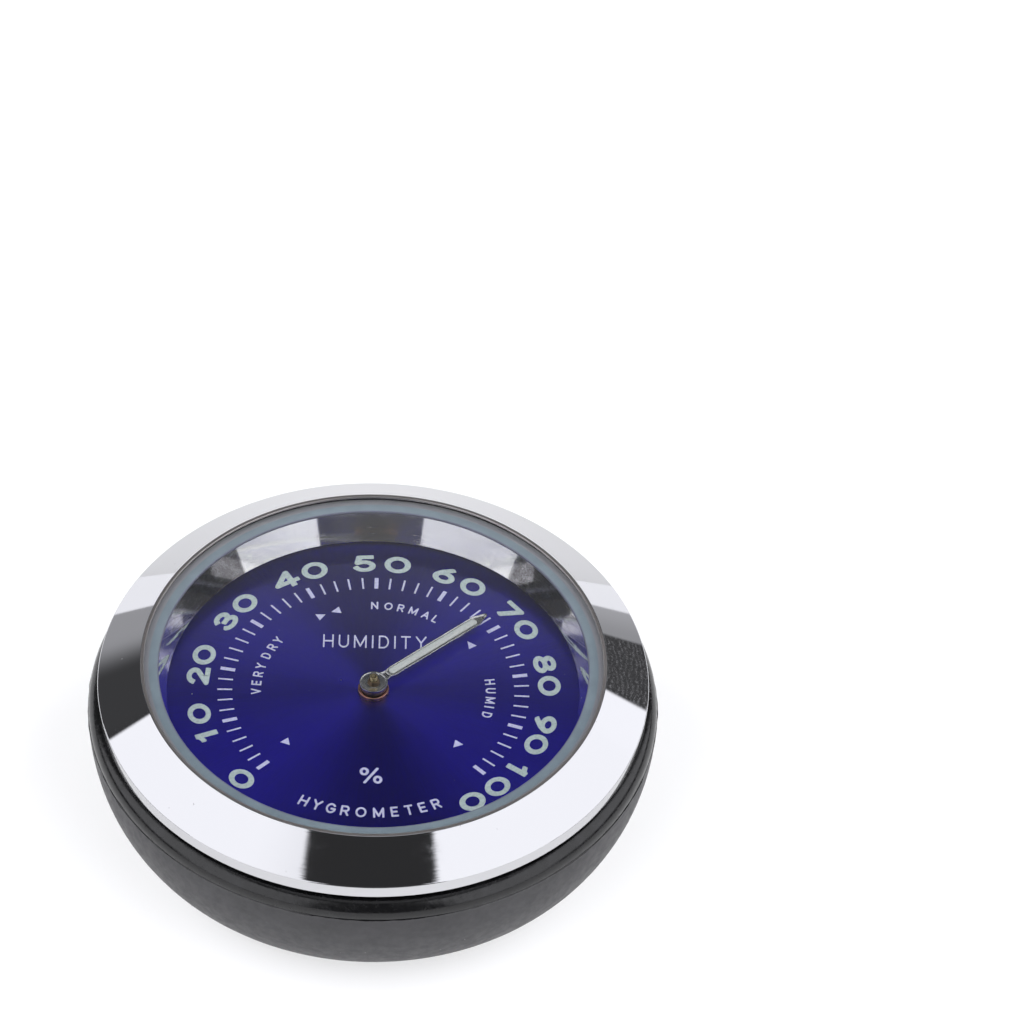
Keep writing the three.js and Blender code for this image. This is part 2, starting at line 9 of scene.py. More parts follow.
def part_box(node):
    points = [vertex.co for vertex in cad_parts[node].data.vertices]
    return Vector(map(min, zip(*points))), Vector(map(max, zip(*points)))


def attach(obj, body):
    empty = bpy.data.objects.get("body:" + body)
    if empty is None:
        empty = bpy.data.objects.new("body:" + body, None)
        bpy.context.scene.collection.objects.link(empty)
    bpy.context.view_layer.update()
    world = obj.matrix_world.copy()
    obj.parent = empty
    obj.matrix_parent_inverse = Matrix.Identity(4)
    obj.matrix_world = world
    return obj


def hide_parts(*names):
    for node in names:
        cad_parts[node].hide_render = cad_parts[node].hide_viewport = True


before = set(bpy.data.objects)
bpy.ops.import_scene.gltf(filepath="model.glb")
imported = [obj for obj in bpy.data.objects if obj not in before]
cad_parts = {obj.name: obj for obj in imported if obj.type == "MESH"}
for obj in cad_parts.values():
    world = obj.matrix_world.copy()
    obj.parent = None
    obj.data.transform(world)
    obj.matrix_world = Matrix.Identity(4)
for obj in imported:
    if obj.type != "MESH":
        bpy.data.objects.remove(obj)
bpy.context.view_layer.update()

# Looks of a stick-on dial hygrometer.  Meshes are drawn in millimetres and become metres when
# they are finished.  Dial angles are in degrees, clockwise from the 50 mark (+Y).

MM = 0.001
SIDES = 256  # round a large revolved piece
SMALL_SIDES = 64  # round a hub, bush or screw
WAVES_PER_UNIT = 3.2  # bands in a unit of a wave texture at scale 1
SUPPORT = 1.2  # an extra line this far from a rounded corner keeps the flat beside it flat


# ---------------------------------------------------------------- sizes from the frame

def box_mm(node):
    low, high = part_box(node)
    return low / MM, high / MM


def radius_of(node):
    return box_mm(node)[1].x


def bottom_of(node):
    return box_mm(node)[0].z


def top_of(node):
    return box_mm(node)[1].z


DIAL_FACE = top_of("dial_plate")
CASE_TOP = top_of("gauge_case")
CASE_BACK = bottom_of("gauge_case")
HAND_BOTTOM = bottom_of("pointer_hand")
UNIT = 11.2  # mm; the dial's print is laid out in this unit


# ---------------------------------------------------------------- mesh helpers

def rounded(points, closed=False, steps=4):
    """A profile with its corners rounded. Each point is (radius, z) or (radius, z, rounding)."""
    count = len(points)
    result = []
    for index, point in enumerate(points):
        here = Vector(point[:2])
        size = point[2] if len(point) > 2 else 0
        at_end = not closed and index in (0, count - 1)
        if size <= 0 or at_end:
            result.append((here.x, here.y))
            continue
        before = Vector(points[index - 1][:2]) - here
        after = Vector(points[(index + 1) % count][:2]) - here
        reach = min(size, before.length * 0.4, after.length * 0.4)
        start = here + before.normalized() * reach
        end = here + after.normalized() * reach
        result.append(tuple(here + before.normalized() * reach * SUPPORT))
        for step in range(steps + 1):
            t = step / steps
            spot = start * (1 - t) ** 2 + here * (2 * t * (1 - t)) + end * t ** 2
            result.append((spot.x, spot.y))
        result.append(tuple(here + after.normalized() * reach * SUPPORT))
    return result


def revolve(profile, sides=SIDES, closed=False, wobble=None):
    """A solid of revolution. A profile that isn't closed starts and ends on the axis."""
    bm = bmesh.new()
    rings = []
    for radius, z in profile:
        if radius < 1e-9:
            rings.append([bm.verts.new((0, 0, z))])
            continue
        ring = []
        for side in range(sides):
            angle = 2 * math.pi * side / sides
            reach = radius + (wobble(radius, z, angle) if wobble else 0)
            ring.append(bm.verts.new((reach * math.cos(angle), reach * math.sin(angle), z)))
        rings.append(ring)
    following = rings[1:] + ([rings[0]] if closed else [])
    for lower, upper in zip(rings, following):
        for side in range(sides):
            after = (side + 1) % sides
            corners = [
                lower[side % len(lower)], lower[after % len(lower)],
                upper[after % len(upper)], upper[side % len(upper)],
            ]
            corners = list(dict.fromkeys(corners))
            if len(corners) > 2:
                bm.faces.new(corners)
    bmesh.ops.recalc_face_normals(bm, faces=bm.faces[:])
    return bm


def add_box(bm, low, high, turn=0.0, bevel=0.0):
    """A box between two corners, turned about the Z axis by an angle in degrees."""
    made = bmesh.ops.create_cube(bm, size=1)["verts"]
    size = Vector(high) - Vector(low)
    middle = (Vector(high) + Vector(low)) / 2
    place = Matrix.Rotation(math.radians(turn), 4, "Z") @ Matrix.Translation(middle)
    bmesh.ops.transform(bm, matrix=place @ Matrix.Diagonal((*size, 1)), verts=made)
    if bevel:
        edges = list({edge for vert in made for edge in vert.link_edges})
        bmesh.ops.bevel(bm, geom=edges, offset=bevel, segments=3, profile=0.5, affect="EDGES")
    return bm


def scratch_object(bm, name):
    mesh = bpy.data.meshes.new(name)
    bm.to_mesh(mesh)
    bm.free()
    obj = bpy.data.objects.new(name, mesh)
    bpy.context.scene.collection.objects.link(obj)
    return obj


def carve(bm, cutters):
    """The solid with each cutter taken away."""
    body = scratch_object(bm, "carve_body")
    tools = [scratch_object(cutter, "carve_tool") for cutter in cutters]
    for tool in tools:
        modifier = body.modifiers.new("cut", "BOOLEAN")
        modifier.object = tool
        modifier.operation = "DIFFERENCE"
        modifier.solver = "EXACT"
    bpy.context.view_layer.update()
    evaluated = body.evaluated_get(bpy.context.evaluated_depsgraph_get())
    result = bmesh.new()
    result.from_mesh(evaluated.to_mesh())
    evaluated.to_mesh_clear()
    for obj in (body, *tools):
        bpy.data.objects.remove(obj)
    bmesh.ops.remove_doubles(result, verts=result.verts[:], dist=1e-4)
    return result


def shifted(bm, x=0.0, y=0.0, z=0.0):
    bmesh.ops.translate(bm, vec=(x, y, z), verts=bm.verts[:])
    return bm


def merged(*meshes):
    whole = bmesh.new()
    for bm in meshes:
        mesh = bpy.data.meshes.new("merge")
        bm.to_mesh(mesh)
        bm.free()
        whole.from_mesh(mesh)
        bpy.data.meshes.remove(mesh)
    return whole


def piece(source, name, body, looks, nodes=(), sharp=35):
    """Turns a mesh in millimetres into a named piece that rides on a body."""
    if isinstance(source, bmesh.types.BMesh):
        mesh = bpy.data.meshes.new(name)
        source.to_mesh(mesh)
        source.free()
    else:
        mesh = source
        mesh.name = name
    mesh.transform(Matrix.Scale(MM, 4))
    mesh.shade_smooth()
    mesh.set_sharp_from_angle(angle=math.radians(sharp))
    for look in looks:
        mesh.materials.append(look)
    obj = bpy.data.objects.new(name, mesh)
    bpy.context.scene.collection.objects.link(obj)
    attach(obj, body)
    if nodes:
        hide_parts(*nodes)
    return obj


def dial_direction(angle):
    """Outward and clockwise unit vectors at a dial angle."""
    turn = math.radians(angle)
    outward = Vector((math.sin(turn), math.cos(turn)))
    return outward, Vector((outward.y, -outward.x))


# ---------------------------------------------------------------- material helper

class Wiring:
    """Math nodes in a node tree. A value is a plain number or another node's output."""

    def __init__(self, tree):
        self.nodes = tree.nodes
        self.links = tree.links

    def feed(self, socket, value):
        if isinstance(value, bpy.types.NodeSocket):
            self.links.new(value, socket)
        else:
            socket.default_value = value

    def math(self, operation, first, second=0.0):
        node = self.nodes.new("ShaderNodeMath")
        node.operation = operation
        self.feed(node.inputs[0], first)
        self.feed(node.inputs[1], second)
        return node.outputs[0]

    def times(self, first, second):
        return self.math("MULTIPLY", first, second)

    def ramp(self, value, low, high, start=0.0, end=1.0):
        """Eases from start to end as the value goes from low to high."""
        node = self.nodes.new("ShaderNodeMapRange")
        node.interpolation_type = "SMOOTHSTEP"
        for socket, number in zip(node.inputs, (value, low, high, start, end)):
            self.feed(socket, number)
        return node.outputs[0]


class Look(Wiring):
    """A node material round one Principled shader. Its coordinates are in millimetres."""

    def __init__(self, name, color, roughness, metallic=0.0, **sockets):
        self.material = bpy.data.materials.new(name)
        self.material.use_nodes = True
        super().__init__(self.material.node_tree)
        self.shader = self.nodes["Principled BSDF"]
        self.put("Base Color", (*color, 1))
        self.put("Roughness", roughness)
        self.put("Metallic", metallic)
        for socket, value in sockets.items():
            self.put(socket.replace("_", " ").title().replace("Ior", "IOR"), value)
        coordinates = self.nodes.new("ShaderNodeTexCoord")
        self.place = self.vector("SCALE", coordinates.outputs["Object"], scale=1 / MM)
        parts = self.nodes.new("ShaderNodeSeparateXYZ")
        self.links.new(self.place, parts.inputs[0])
        self.x, self.y, self.z = parts.outputs
        self.flat = self.vector("MULTIPLY", self.place, (1, 1, 0))
        self.radius = self.vector("LENGTH", self.flat, output="Value")

    def put(self, socket, value):
        self.feed(self.shader.inputs[socket], value)

    def tint(self, share, first, second):
        """The base colour is a mix of two colours."""
        self.put("Base Color", self.mix(share, first, second))

    def facing(self, direction):
        """How nearly the way out from the axis lies along a direction: 1 where it does."""
        outward = self.vector("NORMALIZE", self.flat)
        return self.vector("DOT_PRODUCT", outward, direction, output="Value")

    def vector(self, operation, first, second=None, scale=None, output="Vector"):
        node = self.nodes.new("ShaderNodeVectorMath")
        node.operation = operation
        self.feed(node.inputs[0], first)
        if second is not None:
            self.feed(node.inputs[1], second)
        if scale is not None:
            self.feed(node.inputs["Scale"], scale)
        return node.outputs[output]

    def join(self, x, y, z):
        node = self.nodes.new("ShaderNodeCombineXYZ")
        for socket, value in zip(node.inputs, (x, y, z)):
            self.feed(socket, value)
        return node.outputs[0]

    def noise(self, scale, detail=3.0, rough=0.5, at=None):
        node = self.nodes.new("ShaderNodeTexNoise")
        self.feed(node.inputs["Vector"], at or self.place)
        node.inputs["Scale"].default_value = scale
        node.inputs["Detail"].default_value = detail
        node.inputs["Roughness"].default_value = rough
        return node.outputs[0]

    def noise_color(self, scale):
        """Three unrelated noises at once, each about 0.5, to push coordinates about with."""
        node = self.nodes.new("ShaderNodeTexNoise")
        self.feed(node.inputs["Vector"], self.place)
        node.inputs["Scale"].default_value = scale
        return node.outputs["Color"]

    def waves(self, at, per_mm):
        node = self.nodes.new("ShaderNodeTexWave")
        node.bands_direction = "Y"
        self.feed(node.inputs["Vector"], at)
        node.inputs["Scale"].default_value = per_mm / WAVES_PER_UNIT
        node.inputs["Distortion"].default_value = 0.6
        return node.outputs["Fac"]

    def mix(self, share, first, second):
        node = self.nodes.new("ShaderNodeMix")
        node.data_type = "RGBA"
        self.feed(node.inputs[0], share)
        self.feed(node.inputs[6], first if not isinstance(first, tuple) else (*first, 1))
        self.feed(node.inputs[7], second if not isinstance(second, tuple) else (*second, 1))
        return node.outputs[2]

    def specks(self, scale, size, rarity, at=None):
        """Scattered round specks: cells per mm, radius as a share of a cell, and how few show."""
        node = self.nodes.new("ShaderNodeTexVoronoi")
        self.feed(node.inputs["Vector"], at or self.place)
        node.inputs["Scale"].default_value = scale
        spot = self.ramp(node.outputs["Distance"], size, size * 0.4)
        parts = self.nodes.new("ShaderNodeSeparateColor")
        self.links.new(node.outputs["Color"], parts.inputs[0])
        chosen = self.math("GREATER_THAN", parts.outputs[0], rarity)
        return self.times(spot, chosen)

    def spokes(self, fineness, along=0.0):
        """Noise that is drawn out along the radius, as brushing from the centre outward leaves."""
        around = self.vector("NORMALIZE", self.flat)
        around = self.vector("SCALE", around, scale=fineness)
        drift = self.join(0.0, 0.0, self.times(self.radius, along))
        return self.noise(1.0, 3.0, 0.6, at=self.vector("ADD", around, drift))

    def circles(self, per_mm, drift=0.02):
        """Noise that is drawn out round the axis, as turning on a lathe leaves."""
        wander = self.vector("SCALE", self.flat, scale=drift)
        across = self.join(self.times(self.radius, per_mm), 0.0, 0.0)
        up = self.join(0.0, 0.0, self.times(self.z, per_mm))
        spot = self.vector("ADD", self.vector("ADD", across, up), wander)
        return self.noise(1.0, 2.0, 0.6, at=spot)

    def bump(self, height, depth, after=None):
        """Relief whose full height is depth, in millimetres."""
        node = self.nodes.new("ShaderNodeBump")
        node.inputs["Strength"].default_value = 1.0
        node.inputs["Distance"].default_value = depth * MM
        self.feed(node.inputs["Height"], height)
        if after is not None:
            self.links.new(after, node.inputs["Normal"])
        self.links.new(node.outputs[0], self.shader.inputs["Normal"])
        return node.outputs[0]


# ---------------------------------------------------------------- materials

def foam_look():
    look = Look("foam_black", (0.03, 0.03, 0.032), 0.95)
    cells = look.noise(9, 4, 0.65)
    look.tint(look.ramp(cells, 0.35, 0.7), (0.012, 0.012, 0.013), (0.05, 0.05, 0.052))
    look.bump(cells, 0.08)
    return look.material


def matte_plastic_look(name, dark, light, grain=14.0, depth=0.006, roughness=0.5):
    """Moulded plastic with a fine spark-eroded texture, faint mottling and a little dust."""
    look = Look(name, light, roughness)
    mottle = look.ramp(look.noise(0.35, 4, 0.6), 0.3, 0.75)
    plastic = look.mix(mottle, dark, light)
    dust = look.specks(1.1, 0.07, 0.86)
    look.tint(look.times(dust, 0.5), plastic, (0.4, 0.4, 0.4))
    wear = look.noise(1.4, 4, 0.6)
    look.put("Roughness", look.ramp(wear, 0.25, 0.8, roughness - 0.07, roughness + 0.1))
    look.bump(look.noise(grain, 3, 0.6), depth)
    return look.material


def gloss_plastic_look():
    look = Look("base_gloss", (0.006, 0.006, 0.007), 0.16)
    dust = look.specks(1.6, 0.07, 0.9)
    rubbed = look.ramp(look.noise(0.6, 5, 0.7), 0.45, 0.8)
    black = look.mix(rubbed, (0.004, 0.004, 0.0045), (0.014, 0.014, 0.016))
    look.tint(look.times(dust, 0.5), black, (0.4, 0.4, 0.38))
    look.put("Roughness", look.ramp(look.noise(2.2, 5, 0.7), 0.3, 0.8, 0.13, 0.34))
    look.bump(look.noise(1.2, 3, 0.5), 0.012)
    return look.material


def chrome_look():
    """Chromium plate with faint turning marks, dust, lint, and a fingerprint on the right.

    Inside the crystal's edge the lip is painted darker and browner, as painted shade under the lip, and
    it is rougher.
    """
    clean, dull = (0.55, 0.55, 0.565), (0.36, 0.36, 0.38)
    look = Look("chrome_plate", clean, 0.03, 1.0)
    leftward = look.ramp(look.facing((-0.985, -0.17, 0)), 0.94, 0.98)
    dust = look.specks(1.5, 0.075, look.math("SUBTRACT", 0.93, look.times(leftward, 0.33)))
    lint = look.specks(0.7, 0.05, 0.8, at=look.vector("MULTIPLY", look.place, (1.0, 0.35, 1.0)))
    dirt = look.math("MAXIMUM", dust, lint)
    print_place = look.ramp(look.facing((0.9994, 0.035, 0)), 0.982, 0.994)
    push = look.vector("SCALE", look.noise_color(0.5), scale=1.3)
    warped = look.vector("ADD", look.join(0.0, look.radius, 0.0), push)
    ridges = look.ramp(look.waves(warped, 2.9), 0.1, 1.0, 0.3, 1.0)
    grains = look.ramp(look.noise(5.0, 4, 0.75), 0.4, 0.66)
    smudge = look.times(print_place, look.times(ridges, grains))
    haze = look.times(look.ramp(look.noise(0.8, 5, 0.7), 0.5, 0.85), 0.05)
    spoiled = look.math("MAXIMUM", look.times(dirt, 0.8), look.times(smudge, 0.2))
    lip_start, lip_full = 17.44, 17.42
    # Painted shade: inside 17.42 mm the lip's colour is a darker, browner tone standing in for the
    # shade under the lip.
    plate = look.mix(look.ramp(look.radius, lip_start, lip_full), clean, (0.5, 0.47, 0.46))
    look.tint(spoiled, plate, dull)
    look.put("Metallic", look.math("SUBTRACT", 1.0, look.times(spoiled, 0.8)))
    lip_roughness = look.ramp(look.radius, lip_start, lip_full, 0.025, 0.42)
    rough = look.math("ADD", look.times(spoiled, 0.5), lip_roughness)
    look.put("Roughness", look.math("ADD", rough, haze))
    look.bump(look.circles(11), 0.0002)
    return look.material


def crystal_look():
    look = Look("crystal_glass", (0.985, 0.995, 0.99), 0.0, IOR=1.5, transmission_weight=1.0)
    specks = look.specks(0.45, 0.035, 0.72)
    look.put("Roughness", look.times(specks, 0.5))
    look.bump(specks, 0.01)
    return look.material


def gasket_look():
    """Pale plastic, with a painted highlight along its outer edge and painted shade at its inner edge.
    """
    look = Look("gasket_plastic", (0.3, 0.36, 0.42), 0.35)
    cloud = look.ramp(look.noise(0.5, 4, 0.6), 0.3, 0.75)
    color = look.mix(cloud, (0.27, 0.34, 0.35), (0.32, 0.4, 0.41))
    # Painted highlight: from 16.78 mm outward the colour turns a lighter grey.
    color = look.mix(look.ramp(look.radius, 16.78, 16.9), color, (0.38, 0.38, 0.37))
    # Painted shade: inside 16.24 mm the colour turns darker.
    color = look.mix(look.ramp(look.radius, 16.24, 16.16), color, (0.24, 0.25, 0.3))
    look.put("Base Color", color)
    look.put("Roughness", look.ramp(look.circles(5), 0.3, 0.7, 0.28, 0.45))
    look.bump(look.circles(4), 0.006)
    return look.material


def reflector_look():
    """A bright metallised cone, finely scratched round, with a dark reflection painted on each side of
    its far part.
    """
    # The third colour is painted: the dark reflection on each side of the far part.
    clean, worn, painted_dark = (0.7, 0.69, 0.7), (0.42, 0.41, 0.4), (0.2, 0.19, 0.21)
    look = Look("reflector_bright", clean, 0.06, 1.0)
    level = look.join(0.0, 0.0, look.times(look.z, 20.0))
    spot = look.vector("ADD", look.vector("SCALE", look.flat, scale=0.5), level)
    fine = look.noise(1.0, 3, 0.65, at=spot)
    scratch = look.ramp(fine, 0.52, 0.72)
    cloud = look.ramp(look.noise(0.8, 4, 0.65), 0.4, 0.8)
    scratch = look.times(scratch, look.math("ADD", look.times(cloud, 0.7), 0.3))
    forward = look.facing((0, 1, 0))
    # Painted reflection: at about 40 to 60 degrees either side of the far point the metal is painted
    # dark and mottled.
    painted_dark_zone = look.times(look.ramp(forward, 0.765, 0.75), look.ramp(forward, 0.5, 0.58))
    mottle = look.ramp(look.noise(2.5, 4, 0.7), 0.3, 0.6, 0.5, 0.85)
    metal = look.mix(look.times(painted_dark_zone, mottle), clean, painted_dark)
    look.tint(look.times(scratch, 0.7), metal, worn)
    look.put("Roughness", look.math("ADD", look.times(scratch, 0.35), 0.04))
    look.bump(fine, 0.0003)
    return look.material


def dial_look():
    """Blue lacquer over metal that is brushed outward from the centre, with some dust."""
    look = Look(
        "dial_blue", (0.04, 0.03, 0.58), 0.5, 1.0,
        anisotropic=1.0, coat_weight=1.0, coat_roughness=0.06,
    )
    tangent = look.nodes.new("ShaderNodeTangent")
    tangent.direction_type = "RADIAL"
    tangent.axis = "Z"
    look.links.new(tangent.outputs[0], look.shader.inputs["Tangent"])
    fine = look.spokes(150, 0.5)
    broad = look.spokes(9, 0.05)
    cloud = look.noise(0.25, 4, 0.6)
    blend = look.math("ADD", look.times(fine, 0.8), look.times(broad, 0.2))
    lacquer = look.mix(look.ramp(blend, 0.35, 0.65), (0.04, 0.03, 0.53), (0.046, 0.034, 0.64))
    lacquer = look.mix(look.times(look.ramp(cloud, 0.4, 0.8), 0.35), lacquer, (0.052, 0.042, 0.52))
    dust = look.math("MAXIMUM", look.specks(0.83, 0.04, 0.8), look.specks(1.9, 0.05, 0.93))
    look.tint(look.times(dust, 0.5), lacquer, (0.42, 0.4, 0.6))
    look.put("Roughness", look.ramp(fine, 0.3, 0.7, 0.47, 0.56))
    look.bump(fine, 0.0004)
    return look.material


def ink_look(name, thin, full, roughness):
    """Screen-printed ink: slightly uneven cover and a dry, grainy surface."""
    look = Look(name, full, roughness)
    cover = look.ramp(look.noise(6, 4, 0.7), 0.3, 0.62)
    look.tint(cover, thin, full)
    look.bump(look.noise(18, 3, 0.6), 0.003)
    return look.material


def turned_metal_look(name, bright, dull, roughness=0.25, per_mm=9.0):
    look = Look(name, bright, roughness, 1.0)
    lines = look.circles(per_mm, 0.3)
    stain = look.ramp(look.noise(1.8, 5, 0.7), 0.4, 0.8)
    look.tint(stain, bright, dull)
    look.put("Roughness", look.ramp(lines, 0.3, 0.7, roughness - 0.08, roughness + 0.12))
    look.bump(lines, 0.004)
    return look.material


def strip_look():
    look = Look("sensor_strip", (0.66, 0.58, 0.4), 0.45, 0.6)
    grain = look.noise(5, 4, 0.6, at=look.vector("MULTIPLY", look.place, (1, 1, 0.1)))
    look.tint(look.ramp(grain, 0.3, 0.7), (0.5, 0.42, 0.26), (0.74, 0.66, 0.48))
    look.bump(grain, 0.01)
    return look.material


def floor_look():
    """White paper, painted lighter within 25 mm of the middle to fill in the object's shadow, and
    greyer from there out to 50 mm and beyond.
    """
    look = Look("studio_floor", (0.93, 0.93, 0.93), 0.9)
    # Painted light: the paper near the middle is lighter, where the object's shadow falls.
    far = look.ramp(look.radius, 25, 50)
    shade = look.ramp(look.noise(0.01, 2, 0.5), 0.3, 0.7)
    paper = look.mix(shade, (0.965, 0.965, 0.965), (0.975, 0.975, 0.975))
    look.tint(far, paper, (0.88, 0.88, 0.88))
    return look.material


FOAM = foam_look()
BASE_MATTE = matte_plastic_look("base_matte", (0.021, 0.0205, 0.0235), (0.029, 0.028, 0.032))
BASE_GLOSS = gloss_plastic_look()
CASE_PLASTIC = matte_plastic_look("case_grey", (0.075, 0.08, 0.085), (0.11, 0.115, 0.12), grain=10)
CHROME = chrome_look()
GLASS = crystal_look()
GASKET = gasket_look()
REFLECTOR = reflector_look()
DIAL = dial_look()
WHITE_INK = ink_look("print_white", (0.64, 0.64, 0.85), (0.78, 0.78, 1.0), 0.7)
LUME_INK = ink_look("print_luminous", (0.49, 0.59, 0.53), (0.65, 0.76, 0.68), 0.85)
LUME_PAINT = ink_look("hand_luminous", (0.62, 0.65, 0.56), (0.72, 0.75, 0.65), 0.6)
BRASS = turned_metal_look("turned_brass", (0.72, 0.54, 0.26), (0.5, 0.36, 0.17))
COPPER = turned_metal_look("turned_copper", (0.62, 0.33, 0.24), (0.36, 0.17, 0.12))
STEEL = turned_metal_look("bright_steel", (0.6, 0.6, 0.61), (0.42, 0.42, 0.43))
HAND_STEEL = turned_metal_look("hand_steel", (0.45, 0.45, 0.45), (0.3, 0.3, 0.3), 0.18)
PIN_BRASS = turned_metal_look("pin_brass", (0.55, 0.46, 0.26), (0.4, 0.3, 0.15), 0.25)
COLLAR = turned_metal_look("collar_bronze", (0.34, 0.25, 0.16), (0.2, 0.12, 0.08), 0.3)
STRIP = strip_look()
FLOOR = floor_look()


# ---------------------------------------------------------------- base

def base_wobble(parting_z, flash_height):
    """The moulding flash along the parting line stands out unevenly round the bowl."""
    waves = [(7, 0.3), (17, 1.9), (31, 0.7), (53, 2.2), (97, 4.1)]

    def wobble(radius, z, angle):
        if abs(z - parting_z) > 0.02:
            return 0.0
        swing = sum(math.sin(count * angle + phase) for count, phase in waves) / len(waves)
        return flash_height * (0.45 + max(-0.35, swing))

    return wobble


def make_base():
    low, high = box_mm("base_shell")
    widest = high.x
    widest_z = 10.6
    parting_z = 10.42
    flat_radius = 15.5
    shoulder = high.z - widest_z
    bore = 18.6
    bore_start = 6.2
    floor_top = 2.8
    floor_radius = 16.6
    rib_count = 6
    rib_half_width = 0.5
    rib_top = 11.2
    pad_radius = radius_of("adhesive_pad")
    recess_radius = pad_radius + 0.1
    recess_top = top_of("adhesive_pad") + 0.02

    flank = []
    steps = 30
    for step in range(steps + 1):
        angle = math.radians(270 + 90 * step / steps)
        z = widest_z + (widest_z - low.z) * math.sin(angle)
        if z < parting_z - 0.1:
            flank.append((flat_radius + (widest - flat_radius) * math.cos(angle), z))
    line_radius = widest - 0.005
    line = [
        (line_radius, parting_z - 0.07), (line_radius + 0.004, parting_z - 0.03),
        (line_radius + 0.005, parting_z), (line_radius, parting_z + 0.03),
        (line_radius - 0.03, parting_z + 0.07), (line_radius - 0.03, parting_z + 0.16),
    ]
    crown = []
    for step in range(1, 9):
        angle = math.radians(90 * step / 8)
        crown.append((
            widest - 0.03 - shoulder + shoulder * math.cos(angle),
            widest_z + shoulder * math.sin(angle),
        ))
    profile = rounded([
        (0, recess_top),
        (recess_radius, recess_top, 0.05),
        (recess_radius, low.z, 0.15),
        *flank, *line, *crown,
        (bore, high.z, 0.2),
        (bore, bore_start, 0.3),
        (floor_radius, floor_top, 0.6),
        (0, floor_top),
    ])
    bm = revolve(profile, 360, wobble=base_wobble(parting_z, 0.05))
    inner = radius_of("gauge_case") + 0.1
    ribs = bmesh.new()
    for index in range(rib_count):
        near = (inner, -rib_half_width, bore_start)
        far = (bore + 0.4, rib_half_width, rib_top)
        add_box(ribs, near, far, 360 / rib_count * index, bevel=0.12)
    bm = merged(bm, ribs)
    obj = piece(bm, "base_bowl", "base", [BASE_MATTE, BASE_GLOSS], ["base_shell"])
    for face in obj.data.polygons:
        middle = face.center / MM
        reach = math.hypot(middle.x, middle.y)
        face.material_index = 1 if middle.z > parting_z and reach > bore else 0
    return obj


def make_pad():
    low, high = box_mm("adhesive_pad")
    edge = 0.25
    profile = rounded(
        [(0, low.z), (high.x, low.z, edge), (high.x, high.z, edge), (0, high.z)], steps=6,
    )
    pad = piece(revolve(profile), "adhesive_foam_pad", "base", [FOAM], ["adhesive_pad"])
    return pad


# ---------------------------------------------------------------- case and front

def vent_cutter(angle, inner, outer, width, low, high):
    """A slot with round ends, along a radius."""
    near = (inner, -width / 2, low)
    far = (outer, width / 2, high)
    return add_box(bmesh.new(), near, far, angle, bevel=width * 0.3)


def disc_cutter(x, y, radius, low, high):
    return shifted(revolve([(0, low), (radius, low), (radius, high), (0, high)], SMALL_SIDES), x, y)


def pillar_places():
    for index in (1, 2, 3):
        low, high = box_mm(f"pillar_screw_{index}")
        yield f"pillar_screw_{index}", (low + high) / 2


def make_case():
    radius = radius_of("gauge_case")
    floor = bottom_of("pillar_1")
    mouth = 17.3
    ledge = bottom_of("dial_plate") - 0.02
    inner = 16.3
    floor_top = 5.0
    screw_hole = 0.65
    adjuster_hole = 1.55
    vent_count = 6
    below = CASE_BACK - 1
    profile = rounded([
        (0, CASE_BACK),
        (radius, CASE_BACK, 1.9),
        (radius, CASE_TOP, 0.15),
        (mouth, CASE_TOP, 0.1),
        (mouth, ledge, 0.05),
        (inner, ledge, 0.1),
        (inner, floor_top, 0.8),
        (0, floor_top),
    ], steps=8)
    cutters = [disc_cutter(0, 0, adjuster_hole, below, 5.6)]
    for _, middle in pillar_places():
        cutters.append(disc_cutter(middle.x, middle.y, screw_hole, below, 5.3))
    for index in range(vent_count):
        cutters.append(vent_cutter(360 / vent_count * index, 7, 14, 1.4, below, floor + 1))
    bm = carve(revolve(profile, 192), cutters)
    return piece(bm, "gauge_can", "gauge", [CASE_PLASTIC], ["gauge_case"], sharp=30)


def make_bezel():
    """A polished cone whose inner lip holds the crystal down."""
    low, high = box_mm("bezel")
    outer = high.x
    bore = 17.53
    lip = 17.2
    lip_bottom = top_of("crystal") + 0.02
    rim_outer = lip + 0.26
    step = CASE_TOP + 0.1
    skirt = radius_of("gauge_case") + 0.08
    edge_z = 13.18
    profile = rounded([
        (bore, step, 0.02),
        (skirt, step),
        (skirt, low.z, 0.05),
        (outer, low.z, 0.12),
        (outer, edge_z, 0.07),
        (rim_outer, high.z - 0.02, 0.03),
        (lip + 0.03, high.z, 0.03),
        (lip, high.z - 0.04, 0.02),
        (lip, lip_bottom, 0.03),
        (bore, lip_bottom, 0.02),
    ], closed=True, steps=5)
    bm = revolve(profile, 360, closed=True)
    return piece(bm, "bezel_ring", "gauge", [CHROME], ["bezel"])


def make_crystal():
    low, high = box_mm("crystal")
    chamfer = 0.12
    profile = rounded([
        (0, low.z),
        (high.x, low.z, 0.05),
        (high.x, high.z - chamfer, 0.02),
        (high.x - chamfer, high.z, 0.02),
        (0, high.z),
    ], steps=3)
    bm = revolve(profile)
    return piece(bm, "crystal_disc", "gauge", [GLASS], ["crystal"], sharp=20)


def make_gasket():
    low, high = box_mm("crystal_gasket")
    inner = 16.1
    profile = rounded([
        (inner, low.z, 0.06), (high.x, low.z, 0.06), (high.x, high.z, 0.06), (inner, high.z, 0.08),
    ], closed=True, steps=5)
    bm = revolve(profile, closed=True)
    return piece(bm, "gasket_ring", "gauge", [GASKET], ["crystal_gasket"])


